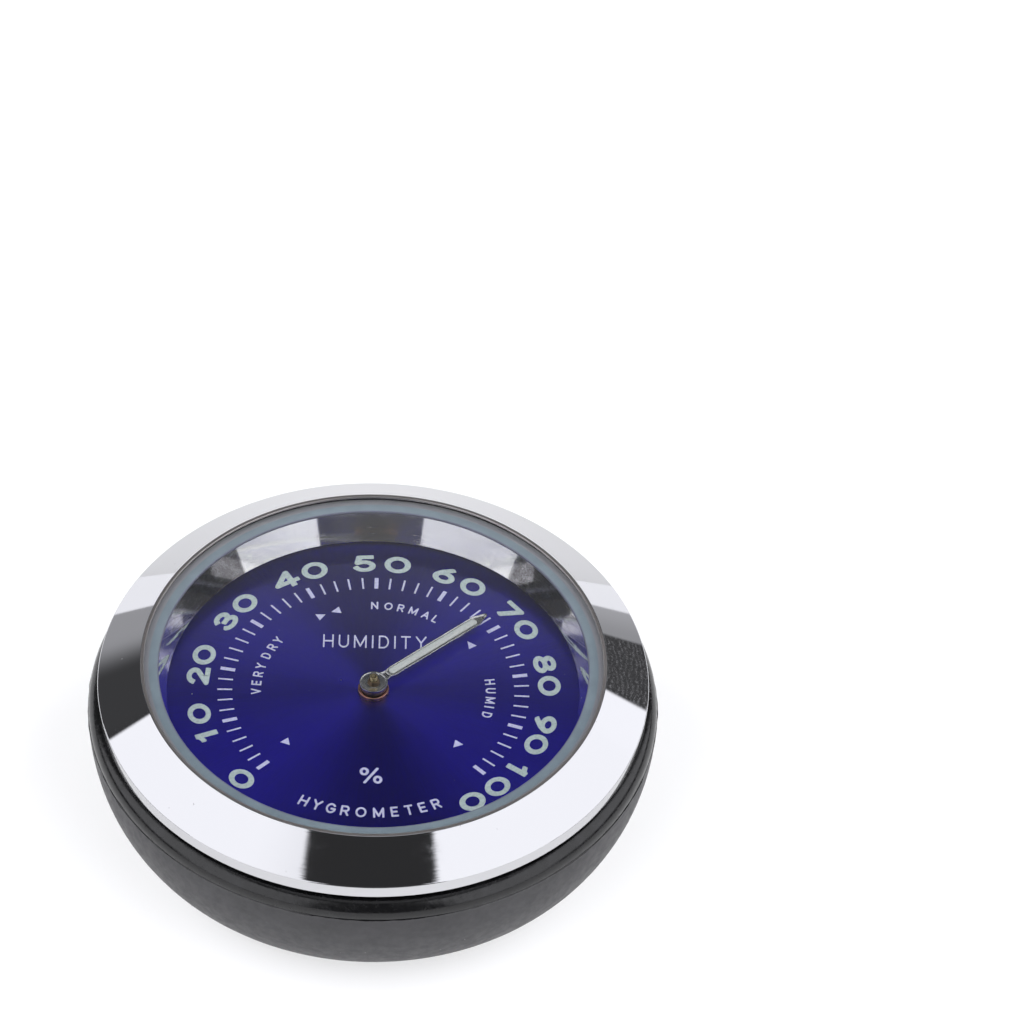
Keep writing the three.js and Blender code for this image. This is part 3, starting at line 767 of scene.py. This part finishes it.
def make_reflector():
    low, high = box_mm("reflector_ring")
    foot_inner = 15.5
    top_inner = 17.0
    gap = 0.12
    profile = rounded([
        (foot_inner, low.z + gap, 0.03), (foot_inner + 0.3, low.z + gap), (foot_inner + 0.3, low.z),
        (high.x, low.z, 0.05), (high.x, high.z, 0.05), (top_inner, high.z, 0.05),
    ], closed=True, steps=4)
    bm = revolve(profile, 360, closed=True)
    return piece(bm, "reflector_cone", "gauge", [REFLECTOR], ["reflector_ring"])


def make_dial():
    low, high = box_mm("dial_plate")
    centre = 1.05
    profile = rounded([
        (centre, low.z), (high.x, low.z, 0.04), (high.x, high.z, 0.04), (centre, high.z, 0.04),
    ], closed=True)
    return piece(revolve(profile, closed=True), "dial_disc", "gauge", [DIAL], ["dial_plate"])


# ---------------------------------------------------------------- lettering

def arc(cx, cy, rx, ry, start, end, steps=28):
    """Points along part of an ellipse, in degrees anticlockwise from the right."""
    angles = [math.radians(start + (end - start) * step / steps) for step in range(steps + 1)]
    return [(cx + rx * math.cos(angle), cy + ry * math.sin(angle)) for angle in angles]


def loop(cx, cy, rx, ry):
    return arc(cx, cy, rx, ry, 0, 360, 48)


SIX = [loop(0.5, 0.32, 0.5, 0.32), [(0.78, 1.0), (0.3, 0.72), *arc(0.5, 0.32, 0.5, 0.32, 150, 172, 3)]]

# Each glyph is a width and its strokes' middle lines, in a box from 0 to 1 both ways.
GLYPHS = {
    "0": (0.95, [loop(0.5, 0.5, 0.5, 0.5)]),
    "1": (0.42, [[(1, 0), (1, 1)], [(-0.1, 0.8), (0.45, 0.86), (1, 1)]]),
    "2": (0.80, [[*arc(0.48, 0.7, 0.46, 0.3, 165, -38), (0, 0), (1, 0)]]),
    "3": (0.80, [
        [*arc(0.46, 0.75, 0.42, 0.25, 160, -90), (0.38, 0.5)],
        [(0.38, 0.5), *arc(0.47, 0.26, 0.5, 0.26, 90, -160)],
    ]),
    "4": (0.97, [[(0.74, 0), (0.74, 1), (0, 0.26), (1, 0.26)]]),
    "5": (0.81, [[(0.9, 1), (0.22, 1), (0.1, 0.56), *arc(0.48, 0.31, 0.5, 0.31, 122, -155)]]),
    "6": (0.80, SIX),
    "7": (0.80, [[(0, 1), (1, 1), (0.3, 0)]]),
    "8": (0.81, [loop(0.5, 0.76, 0.42, 0.24), loop(0.5, 0.26, 0.5, 0.26)]),
    "9": (0.80, [[(1 - x, 1 - y) for x, y in stroke] for stroke in SIX]),
    "A": (0.82, [[(0, 0), (0.5, 1), (1, 0)], [(0.2, 0.34), (0.8, 0.34)]]),
    "D": (0.74, [[(0, 0), (0, 1), *arc(0.42, 0.5, 0.58, 0.5, 90, -90), (0, 0)]]),
    "E": (0.62, [[(1, 1), (0, 1), (0, 0), (1, 0)], [(0, 0.5), (0.88, 0.5)]]),
    "G": (0.84, [[*arc(0.5, 0.5, 0.5, 0.5, 42, 338), (1, 0.46), (0.58, 0.46)]]),
    "H": (0.76, [[(0, 0), (0, 1)], [(1, 0), (1, 1)], [(0, 0.5), (1, 0.5)]]),
    "I": (0.14, [[(0.5, 0), (0.5, 1)]]),
    "L": (0.58, [[(0, 1), (0, 0), (1, 0)]]),
    "M": (0.92, [[(0, 0), (0, 1), (0.5, 0.1), (1, 1), (1, 0)]]),
    "N": (0.78, [[(0, 0), (0, 1), (1, 0), (1, 1)]]),
    "O": (0.90, [loop(0.5, 0.5, 0.5, 0.5)]),
    "R": (0.72, [
        [(0, 0), (0, 1), *arc(0.62, 0.73, 0.38, 0.27, 90, -90), (0, 0.46)], [(0.55, 0.46), (1, 0)],
    ]),
    "T": (0.70, [[(0, 1), (1, 1)], [(0.5, 1), (0.5, 0)]]),
    "U": (0.74, [[(0, 1), *arc(0.5, 0.34, 0.5, 0.34, 180, 360), (1, 1)]]),
    "V": (0.80, [[(0, 1), (0.5, 0), (1, 1)]]),
    "Y": (0.78, [[(0, 1), (0.5, 0.48), (1, 1)], [(0.5, 0.48), (0.5, 0)]]),
    "%": (1.05, [loop(0.16, 0.79, 0.16, 0.21), loop(0.84, 0.21, 0.16, 0.21), [(0.2, 0), (0.8, 1)]]),
}
CELL_EDGES = {
    1: [(3, 0)], 2: [(0, 1)], 3: [(3, 1)], 4: [(1, 2)], 5: [(3, 2), (0, 1)], 6: [(0, 2)],
    7: [(3, 2)], 8: [(2, 3)], 9: [(2, 0)], 10: [(0, 3), (1, 2)], 11: [(2, 1)], 12: [(1, 3)],
    13: [(1, 0)], 14: [(0, 3)],
}


def stroke_distance(x, y, path, half, corner):
    """Signed distance to a pen stroke with square ends and lightly rounded corners."""
    closed = math.dist(path[0], path[-1]) < 1e-6
    nearest = np.full(x.shape, 9.0)
    last = len(path) - 2
    for index, (start, end) in enumerate(zip(path, path[1:])):
        length = math.dist(start, end)
        if length < 1e-9:
            continue
        ux, uy = (end[0] - start[0]) / length, (end[1] - start[1]) / length
        before = 0 if closed or index else half
        after = 0 if closed or index < last else half
        along = (x - start[0]) * ux + (y - start[1]) * uy
        across = (y - start[1]) * ux - (x - start[0]) * uy
        over = np.abs(along - (length + after - before) / 2) - ((length + before + after) / 2 - corner)
        beside = np.abs(across) - (half - corner)
        outside = np.hypot(np.maximum(over, 0), np.maximum(beside, 0))
        nearest = np.minimum(nearest, outside + np.minimum(np.maximum(over, beside), 0) - corner)
        if closed or index < last:
            nearest = np.minimum(nearest, np.hypot(x - end[0], y - end[1]) - half)
    return nearest


def outlines(field, xs, ys):
    """Closed lines where the field passes through zero, as lists of points."""
    crossing, links = {}, {}
    inside = field < 0
    for i in range(len(xs) - 1):
        for j in range(len(ys) - 1):
            code = (
                inside[i, j] + 2 * inside[i + 1, j] + 4 * inside[i + 1, j + 1] + 8 * inside[i, j + 1]
            )
            if code in (0, 15):
                continue
            edges = [
                ((i, j), (i + 1, j)), ((i + 1, j), (i + 1, j + 1)),
                ((i, j + 1), (i + 1, j + 1)), ((i, j), (i, j + 1)),
            ]
            for first, second in CELL_EDGES[int(code)]:
                for edge in (edges[first], edges[second]):
                    (a, b), (c, d) = edge
                    share = field[a, b] / (field[a, b] - field[c, d])
                    crossing[edge] = (
                        xs[a] + (xs[c] - xs[a]) * share, ys[b] + (ys[d] - ys[b]) * share,
                    )
                links.setdefault(edges[first], []).append(edges[second])
                links.setdefault(edges[second], []).append(edges[first])
    loops = []
    waiting = dict.fromkeys(links)
    while waiting:
        here = next(iter(waiting))
        ring = []
        while here is not None:
            waiting.pop(here)
            ring.append(crossing[here])
            here = next((edge for edge in links[here] if edge in waiting), None)
        loops.append(ring)
    return loops


GLYPH_CACHE = {}


def glyph(letter, weight, corner=0.03, step=0.022):
    """Outlines of a letter that is 1 high, and its width, for a pen of this thickness."""
    key = (letter, weight)
    if key not in GLYPH_CACHE:
        width, strokes = GLYPHS[letter]
        half = weight / 2
        width = max(width, weight)
        margin = 2 * step
        xs = np.arange(-margin, width + margin + step, step)
        ys = np.arange(-margin, 1 + margin + step, step)
        x, y = np.meshgrid(xs, ys, indexing="ij")
        field = np.full(x.shape, 9.0)
        for stroke in strokes:
            path = [(half + u * (width - weight), half + v * (1 - weight)) for u, v in stroke]
            field = np.minimum(field, stroke_distance(x, y, path, half, corner))
        field = np.maximum(field, np.maximum(y - 1, -y))
        field = np.maximum(field, np.maximum(x - width, -x)) + 1e-6
        GLYPH_CACHE[key] = (outlines(field, xs, ys), width)
    return GLYPH_CACHE[key]


def glyph_on_circle(letter, angle, inner, height, width, weight, flipped=False):
    """Outlines of a letter across a dial radius, with its top outward, or inward if flipped."""
    rings, own_width = glyph(letter, weight)
    outward, clockwise = dial_direction(angle)
    placed = []
    for ring in rings:
        points = []
        for x, y in ring:
            side = (x / own_width - 0.5) * width
            reach = inner + (1 - y if flipped else y) * height
            points.append(outward * reach + clockwise * (-side if flipped else side))
        placed.append(points)
    return placed


def glyph_upright(letter, x, y, height, width, weight):
    """Outlines of a letter with its lower left corner at a point."""
    rings, own_width = glyph(letter, weight)
    return [
        [Vector((x + px / own_width * width, y + py * height)) for px, py in ring] for ring in rings
    ]


def wedge(angle, inner, outer, spread):
    """A triangle on a circle that points along it: clockwise if spread is above 0."""
    point_at = dial_direction(angle + spread / 2)[0] * (inner + outer) / 2
    base_at = dial_direction(angle - spread / 2)[0]
    return [point_at, base_at * inner, base_at * outer]


def tick(angle, inner, outer, width):
    outward, clockwise = dial_direction(angle)
    corners = [(inner, -1), (inner, 1), (outer, 1), (outer, -1)]
    return [outward * reach + clockwise * (side * width / 2) for reach, side in corners]


PRINT_THICKNESS = 0.016
PRINT_LIFT = 0.001  # gap below the print, so that no two faces lie in one plane


def print_on_dial(rings, name, look):
    """Fills outlines, holes and all, and prints them on the dial."""
    curve = bpy.data.curves.new(name, "CURVE")
    curve.dimensions = "2D"
    curve.fill_mode = "BOTH"
    curve.extrude = PRINT_THICKNESS / 2
    for ring in rings:
        spline = curve.splines.new("POLY")
        spline.points.add(len(ring) - 1)
        spline.use_cyclic_u = True
        for point, place in zip(spline.points, ring):
            point.co = (place[0], place[1], 0, 1)
    drawing = bpy.data.objects.new(name, curve)
    bpy.context.scene.collection.objects.link(drawing)
    bpy.context.view_layer.update()
    evaluated = drawing.evaluated_get(bpy.context.evaluated_depsgraph_get())
    mesh = bpy.data.meshes.new_from_object(evaluated)
    bpy.data.objects.remove(drawing)
    bpy.data.curves.remove(curve)
    bm = bmesh.new()
    bm.from_mesh(mesh)
    bpy.data.meshes.remove(mesh)
    bmesh.ops.remove_doubles(bm, verts=bm.verts[:], dist=1e-4)
    bmesh.ops.recalc_face_normals(bm, faces=bm.faces[:])
    shifted(bm, z=DIAL_FACE + PRINT_THICKNESS / 2 + PRINT_LIFT)
    return piece(bm, name, "gauge", [look], sharp=30)


SCALE_START = -134.0
SCALE_SPAN = 268.0
NUMERAL_WIDTHS = {"0": 0.182, "1": 0.08, "4": 0.187}
NUMERALS = [
    ("0", -133.8), ("1", -112.3), ("0", -102.0), ("2", -85.2), ("0", -75.7), ("3", -58.8),
    ("0", -48.8), ("4", -31.8), ("0", -21.1), ("5", -4.2), ("0", 6.9), ("6", 23.2), ("0", 33.8),
    ("7", 50.1), ("0", 59.9), ("8", 76.3), ("0", 86.1), ("9", 103.2), ("0", 112.5),
    ("1", 124.5), ("0", 134.9), ("0", 145.3),
]
WORDS = [  # letters, their dial angles, inner radius, height, whether the tops point inward
    ("VERYDRY", (-92.3, -86.7, -80.8, -75.3, -67.8, -61.4, -55.9), 0.754, 0.0685, False),
    ("NORMAL", (-0.6, 6.3, 12.5, 19.0, 25.8, 31.1), 0.754, 0.0685, False),
    ("HUMID", (82.5, 88.3, 94.7, 99.2, 104.5), 0.754, 0.0685, False),
    (
        "HYGROMETER",
        (-156.4, -161.3, -166.4, -171.3, -176.9, 177.0, 171.5, 166.4, 161.6, 156.6),
        1.0475, 0.0875, True,
    ),
]
WEDGES = [  # middle angle, inner and outer radius, and the angle it covers towards its point
    (-130.8, 0.714, 0.779, -4.6), (-28.4, 0.741, 0.804, 4.4), (-20.4, 0.747, 0.81, -4.6),
    (46.0, 0.75, 0.812, 4.6), (55.3, 0.756, 0.816, -4.8), (130.1, 0.702, 0.768, 4.8),
]


def print_scale():
    """A tick for every 2 percent, and a bold one for every 10."""
    tick_steps, bold_every = 50, 5
    inner, outer = 0.9475 * UNIT, 1.0475 * UNIT
    thin, bold = 0.0125 * UNIT, 0.027 * UNIT
    rings = []
    for index in range(tick_steps + 1):
        angle = SCALE_START + SCALE_SPAN * index / tick_steps
        rings.append(tick(angle, inner, outer, bold if index % bold_every == 0 else thin))
    return print_on_dial(rings, "dial_print_scale", WHITE_INK)


def print_numerals():
    inner, height, weight = 1.107 * UNIT, 0.155 * UNIT, 0.22
    usual_width = 0.158
    rings = []
    for digit, angle in NUMERALS:
        width = NUMERAL_WIDTHS.get(digit, usual_width) * UNIT
        rings += glyph_on_circle(digit, angle, inner, height, width, weight)
    return print_on_dial(rings, "dial_print_numerals", LUME_INK)


def print_words():
    weight, condensed = 0.17, 0.92
    rings = []
    for letters, angles, inner, height, flipped in WORDS:
        for letter, angle in zip(letters, angles):
            width = GLYPHS[letter][0] * height * condensed
            if letter == "I":
                width = weight * height
            rings += glyph_on_circle(
                letter, angle, inner * UNIT, height * UNIT, width * UNIT, weight, flipped,
            )
    return print_on_dial(rings, "dial_print_words", WHITE_INK)


def print_title():
    """The measured quantity's name above the centre, and the percent sign below it."""
    title = "HUMIDITY"
    height, span, gap, weight = 0.118 * UNIT, 0.7 * UNIT, 0.034 * UNIT, 0.11
    widths = [max(GLYPHS[letter][0], weight) for letter in title]
    stretch = (span - gap * (len(title) - 1)) / sum(widths)
    left = -span / 2
    title_foot, sign_foot = 0.39 * UNIT, -0.835 * UNIT
    rings = []
    for letter, width in zip(title, widths):
        rings += glyph_upright(letter, left, title_foot, height, width * stretch, weight)
        left += width * stretch + gap
    sign_width, sign_height, sign_weight = 0.152 * UNIT, 0.14 * UNIT, 0.13
    rings += glyph_upright("%", -sign_width / 2, sign_foot, sign_height, sign_width, sign_weight)
    return print_on_dial(rings, "dial_print_title", WHITE_INK)


def print_wedges():
    rings = [wedge(angle, inner * UNIT, outer * UNIT, spread) for angle, inner, outer, spread in WEDGES]
    return print_on_dial(rings, "dial_print_wedges", WHITE_INK)


# ---------------------------------------------------------------- hub and pointer

def pointer_angle():
    low, high = box_mm("pointer_lume")
    middle = (low + high) / 2
    return math.degrees(math.atan2(middle.x, middle.y))


def above_dial(points):
    return [(point[0], DIAL_FACE + point[1], *point[2:]) for point in points]


def make_bush():
    bottom = bottom_of("centre_bush") - DIAL_FACE
    top = top_of("centre_bush") - DIAL_FACE
    flange = radius_of("centre_bush")
    bore = 0.35
    profile = rounded(above_dial([
        (bore, bottom), (1.0, bottom), (1.0, 0.02), (flange, 0.02, 0.03),
        (flange, top, 0.1), (0.95, top, 0.05), (0.9, top - 0.06), (bore, top - 0.06),
    ]), closed=True)
    bm = revolve(profile, SMALL_SIDES * 2, closed=True)
    return piece(bm, "centre_bush_ring", "gauge", [COPPER], ["centre_bush"])


def make_boss():
    """A collar that carries the hand, and above the hand a short cone round the arbor."""
    low, high = box_mm("pointer_boss")
    seat = HAND_BOTTOM - 0.02
    bore = 0.32
    collar, cone, cone_tip = 1.0, 0.46, 0.37
    profile = rounded([
        (bore, low.z), (0.96, low.z, 0.05), (collar, low.z + 0.06, 0.04), (collar, seat, 0.03),
        (cone, seat), (cone, HAND_BOTTOM + 0.18, 0.02), (cone_tip, high.z, 0.05),
        (bore, high.z, 0.02),
    ], closed=True)
    bm = revolve(profile, SMALL_SIDES, closed=True)
    return piece(bm, "pointer_boss_collar", "pointer", [COLLAR], ["pointer_boss"])


def make_arbor():
    low, high = box_mm("pointer_arbor")
    radius = 0.3
    pivot, pivot_top = 0.17, 6.2
    profile = rounded([
        (0, low.z), (pivot, low.z, 0.05), (pivot, pivot_top, 0.02), (radius, pivot_top, 0.03),
        (radius, high.z, 0.07), (0, high.z),
    ], steps=6)
    bm = revolve(profile, 48)
    return piece(bm, "pointer_arbor_pin", "pointer", [PIN_BRASS], ["pointer_arbor"])


def loft(stations, section):
    """A closed tube along +Y whose section at each station is a list of (across, z)."""
    bm = bmesh.new()
    rings = [[bm.verts.new((x, along, z)) for x, z in section(along, half)] for along, half in stations]
    for first, second in zip(rings, rings[1:]):
        for index in range(len(first)):
            after = (index + 1) % len(first)
            bm.faces.new((first[index], first[after], second[after], second[index]))
    bm.faces.new(rings[0])
    bm.faces.new(rings[-1])
    bmesh.ops.recalc_face_normals(bm, faces=bm.faces[:])
    return bm


def turned_to_pointer(bm):
    turn = Matrix.Rotation(-math.radians(pointer_angle()), 4, "Z")
    bmesh.ops.transform(bm, matrix=turn, verts=bm.verts[:])
    return bm


def blade_section(along, half):
    """A shallow channel between two rounded edge beads."""
    bottom, channel, top = 0.0, 0.07, 0.17
    if along < 1.6:
        channel = 0.1 + 0.05 * math.exp(-((along - 1.42) / 0.05) ** 2)
    bead = 0.15
    inner = max(half - bead, half * 0.25)
    side = [
        (inner * 0.5, channel), (inner - 0.015, channel), (inner + 0.02, channel + 0.035),
        (inner + 0.05, top - 0.015), (inner + 0.5 * (half - inner), top), (half - 0.03, top - 0.012),
        (half, top - 0.05), (half, bottom + 0.02), (half - 0.02, bottom),
    ]
    right = [(x, HAND_BOTTOM + z) for x, z in side]
    left = [(-x, z) for x, z in reversed(right)]
    return [(0, HAND_BOTTOM + channel), *right, (0, HAND_BOTTOM + bottom), *left]


def make_hand():
    tip = 11.14
    shoulder = 10.15
    width = 0.47
    stations = [
        (0.75, 0.5), (1.0, 0.46), (1.2, 0.4), (1.34, 0.375), (1.4, 0.37), (1.46, 0.37), (1.52, 0.38),
        (1.6, 0.41), (1.75, 0.455), (2.0, width), (4.0, width), (6.0, width), (8.0, width),
        (shoulder, width),
    ]
    for step in range(1, 9):
        share = step / 8
        stations.append((shoulder + (tip - shoulder) * share, width + (0.09 - width) * share ** 1.08))
    blade = loft(stations, blade_section)
    hub = revolve(rounded([(reach, HAND_BOTTOM + z, rounding) for reach, z, rounding in (
        (0.48, 0.0, 0), (1.0, 0.0, 0.03), (1.06, 0.04, 0.03), (1.06, 0.17, 0.04), (0.98, 0.17, 0.04),
        (0.93, 0.12, 0.03), (0.62, 0.11, 0.03), (0.56, 0.13, 0.03), (0.48, 0.13, 0.02),
    )], closed=True), SMALL_SIDES * 2, closed=True)
    bm = turned_to_pointer(merged(hub, blade))
    return piece(bm, "pointer_hand_blade", "pointer", [HAND_STEEL], ["pointer_hand"])


def lume_section(along, half):
    """A paint fill that sits proud in the channel, as a flat dome."""
    base, edge, crown = 0.06, 0.15, 0.2
    rise = min(1.0, half / 0.27)
    side = [(half, base), (half, base + (edge - base) * rise)]
    for step in range(1, 6):
        share = step / 6
        height = edge + (crown - edge) * (1 - (1 - share) ** 2)
        side.append((half * (1 - share * 0.98), base + (height - base) * rise))
    right = [(x, HAND_BOTTOM + z) for x, z in side]
    left = [(-x, z) for x, z in reversed(right)]
    return [*right, *left]


def make_lume():
    start, end, width = 1.62, 10.12, 0.275
    steps = 6
    near_round, far_round, blunt = 0.2, 0.25, 0.2
    quarter = [math.pi / 2 * step / steps for step in range(steps + 1)]
    stations = []
    for angle in quarter:
        along = start + near_round * (1 - math.cos(angle))
        stations.append((along, width * max(math.sin(angle), blunt)))
    stations += [(along, width) for along in (2.5, 4.0, 5.5, 7.0, 8.5, 9.6)]
    for angle in quarter:
        along = end - far_round + far_round * math.sin(angle)
        stations.append((along, width * max(math.cos(angle), blunt)))
    bm = turned_to_pointer(loft(stations, lume_section))
    return piece(bm, "pointer_lume_fill", "pointer", [LUME_PAINT], ["pointer_lume"])


# ---------------------------------------------------------------- back of the gauge

def make_pillar_screw(name, middle):
    low, high = box_mm(name)
    head = (high.x - low.x) / 2
    seat = CASE_BACK - 0.02
    shank = 0.55
    body = revolve(rounded([
        (0, low.z), (head, low.z, 0.2), (head, seat, 0.05),
        (shank, seat), (shank, high.z, 0.1), (0, high.z),
    ], steps=6), SMALL_SIDES)
    cross = [
        add_box(bmesh.new(), (-x, -y, low.z - 1), (x, y, low.z + 0.3))
        for x, y in ((0.65, 0.15), (0.15, 0.65))
    ]
    bm = shifted(carve(body, cross), middle.x, middle.y)
    return piece(bm, f"case_{name}", "gauge", [STEEL], [name])


def make_calibration_screw():
    low, high = box_mm("calibration_screw")
    head = high.x
    seat = CASE_BACK - 0.05
    neck, neck_top = 1.5, 5.35
    spigot = 1.0
    pivot_hole, pivot_floor = 0.22, 5.5
    body = revolve(rounded([
        (0, low.z), (head, low.z, 0.15), (head, seat, 0.05), (neck, seat), (neck, neck_top, 0.05),
        (spigot, neck_top), (spigot, high.z, 0.05),
        (pivot_hole, high.z), (pivot_hole, pivot_floor), (0, pivot_floor),
    ]), SMALL_SIDES * 2)
    slot = add_box(bmesh.new(), (-head * 1.5, -0.35, low.z - 1), (head * 1.5, 0.35, low.z + 0.4))
    bm = carve(body, [slot])
    nodes = ["calibration_screw"]
    return piece(bm, "slotted_adjuster", "calibrator", [BRASS], nodes)


def dress_hidden_nodes():
    """The movement below the dial keeps its CAD shapes and gets the finish of each metal."""
    finishes = {
        "movement_plate": BRASS, "bush_nut": BRASS, "spacer_washer": STEEL, "friction_washer": STEEL,
        "regulator_arm": STEEL, "coil_stud": BRASS, "sensor_coil": STRIP, "coil_collet": BRASS,
        "dial_foot_1": COPPER, "dial_foot_2": COPPER, "pillar_1": BRASS, "pillar_2": BRASS,
        "pillar_3": BRASS,
    }
    for name, finish in finishes.items():
        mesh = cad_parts[name].data
        mesh.materials.clear()
        mesh.materials.append(finish)
        mesh.shade_smooth()
        mesh.set_sharp_from_angle(angle=math.radians(30))


# ---------------------------------------------------------------- studio

def make_camera():
    """A long lens that looks down on the dial at about 45 degrees, rolled by nearly 2 degrees."""
    right = Vector((0.99953792, 0.0037004, 0.03017046))
    forward = Vector((0.0189097, 0.70141619, -0.71250106))
    up = right.cross(forward)
    place = Vector((2.15, -285.3, 321.16)) * MM
    data = bpy.data.cameras.new("camera")
    data.sensor_width = 36
    data.lens = 196.5
    data.clip_start = 0.01
    data.clip_end = 50
    camera = bpy.data.objects.new("camera", data)
    bpy.context.scene.collection.objects.link(camera)
    axes = Matrix((right, up, -forward)).transposed()
    camera.matrix_world = Matrix.Translation(place) @ axes.to_4x4()
    bpy.context.scene.camera = camera


FLOOR_RADIUS = 1.0  # metres
LAMP_HEIGHT = 1.5
LAMP_WIDTH = 3.0


def make_floor():
    bm = bmesh.new()
    bmesh.ops.create_circle(bm, cap_ends=True, segments=64, radius=FLOOR_RADIUS)
    mesh = bpy.data.meshes.new("floor")
    bm.to_mesh(mesh)
    bm.free()
    mesh.materials.append(FLOOR)
    floor = bpy.data.objects.new("floor", mesh)
    bpy.context.scene.collection.objects.link(floor)


def make_studio_light():
    """A pale tent: bright panels left and right, a horizon, two cards, and darker gaps between.

    Directions are in degrees. Right is the way round from +Y towards +X, left is the same the
    other way, away is either, and height is above the floor.
    """
    world = bpy.data.worlds.new("studio")
    bpy.context.scene.world = world
    world.use_nodes = True
    sky = Wiring(world.node_tree)
    both, ramp = sky.times, sky.ramp

    def band(value, low, high, soft):
        rise = ramp(value, low - soft, low + soft)
        fall = ramp(value, high + soft, high - soft)
        return both(rise, fall)

    coordinates = sky.nodes.new("ShaderNodeTexCoord")
    parts = sky.nodes.new("ShaderNodeSeparateXYZ")
    sky.links.new(coordinates.outputs["Generated"], parts.inputs[0])
    x, y, z = parts.outputs
    right = sky.math("DEGREES", sky.math("ARCTAN2", x, y))
    left = both(right, -1.0)
    away = sky.math("ABSOLUTE", right)
    height = sky.math("DEGREES", sky.math("ARCSINE", z))

    panel_foot = ramp(away, 114.4, 113.4, 3.0, 12.0)
    above_foot = ramp(sky.math("SUBTRACT", height, panel_foot), -0.5, 0.5)
    panel_height = both(above_foot, ramp(height, 64.8, 64.2))
    left_panel = both(band(left, 61.5, 159, 0.5), ramp(left, 155, 115, 0.87, 1.0))
    panels = sky.math("ADD", band(right, 50.9, 152.5, 0.5), left_panel)
    horizon_top = both(ramp(right, -31, 29, 5.9, 4.1), ramp(away, 70, 50))
    horizon = sky.math("SUBTRACT", height, horizon_top)
    above_horizon = ramp(horizon, -0.2, 0.2)
    right_card = both(band(right, 12, 36.4, 0.4), ramp(height, 15, 13))
    left_card = both(ramp(left, 47.5, 39.5), both(ramp(right, 13, 11), ramp(height, 24, 10)))
    veil = both(ramp(away, 60, 20), both(ramp(height, 48, 45.3), ramp(height, 36, 42)))
    behind_camera = both(ramp(away, 150, 165), band(height, 8, 60, 5))
    beside_cards = both(band(away, 30, 62, 3), ramp(height, 35, 30))
    overhead = ramp(height, 71, 75)
    parts_of_light = [
        (both(panels, panel_height), 1.64),
        (ramp(horizon, 0.2, -0.2), 1.4),
        (overhead, 0.6),
        (both(right_card, above_horizon), ramp(right, 29, 35.9, 0.58, 0.42)),
        (both(left_card, above_horizon), 0.45),
        (veil, 0.4),
        (behind_camera, 0.06),
        (beside_cards, 0.03),
    ]
    level = ramp(height, -90, -89, 0.0, 0.045)
    for share, strength in parts_of_light:
        level = sky.math("ADD", level, both(share, strength))
    background = sky.nodes["Background"]
    background.inputs["Color"].default_value = (0.955, 0.96, 1.0, 1)
    sky.links.new(level, background.inputs["Strength"])


def overhead_lamp(name, energy, color, reached, passed):
    """A wide, soft lamp above that isn't mirrored. It lights some objects and passes others."""
    data = bpy.data.lights.new(name, "AREA")
    data.shape = "DISK"
    data.size = LAMP_WIDTH
    data.energy = energy
    data.color = color
    lamp = bpy.data.objects.new(name, data)
    lamp.location = (0, 0, LAMP_HEIGHT)
    lamp.visible_camera = False
    lamp.visible_glossy = False
    lamp.visible_transmission = False
    bpy.context.scene.collection.objects.link(lamp)
    receivers = bpy.data.collections.new(name + "_reaches")
    for obj in reached:
        receivers.objects.link(obj)
    lamp.light_linking.receiver_collection = receivers
    blockers = bpy.data.collections.new(name + "_passes")
    for obj in passed:
        blockers.objects.link(obj)
    for entry in blockers.collection_objects:
        entry.light_linking.link_state = "EXCLUDE"
    lamp.light_linking.blocker_collection = blockers


UNDER_CRYSTAL = [
    "dial_print_scale", "dial_print_numerals", "dial_print_words", "dial_print_title",
    "dial_print_wedges", "pointer_lume_fill", "gasket_ring",
]


def make_overhead_lamps():
    """Fill for the floor without a shadow, for the body, and for the print below the crystal."""
    meshes = [obj for obj in bpy.context.scene.objects if obj.type == "MESH"]
    floor = [obj for obj in meshes if obj.name == "floor"]
    pieces = [obj for obj in meshes if obj.name != "floor"]
    under_crystal = [bpy.data.objects[name] for name in UNDER_CRYSTAL]
    crystal = [bpy.data.objects["crystal_disc"]]
    white, bluish = (1, 1, 1), (0.95, 0.96, 1.25)
    overhead_lamp("floor_lamp", 24, white, floor, pieces)
    overhead_lamp("body_lamp", 20, white, pieces, [])
    overhead_lamp("dial_lamp", 15, bluish, under_crystal, crystal)


def set_view():
    view = bpy.context.scene.view_settings
    view.view_transform = "Standard"
    view.look = "None"


make_camera()
make_studio_light()
make_floor()
set_view()
make_base()
make_pad()
make_case()
make_bezel()
make_crystal()
make_gasket()
make_reflector()
make_dial()
print_scale()
print_numerals()
print_words()
print_title()
print_wedges()
make_bush()
make_boss()
make_arbor()
make_hand()
make_lume()
for screw_name, screw_place in list(pillar_places()):
    make_pillar_screw(screw_name, screw_place)
make_calibration_screw()
dress_hidden_nodes()
make_overhead_lamps()
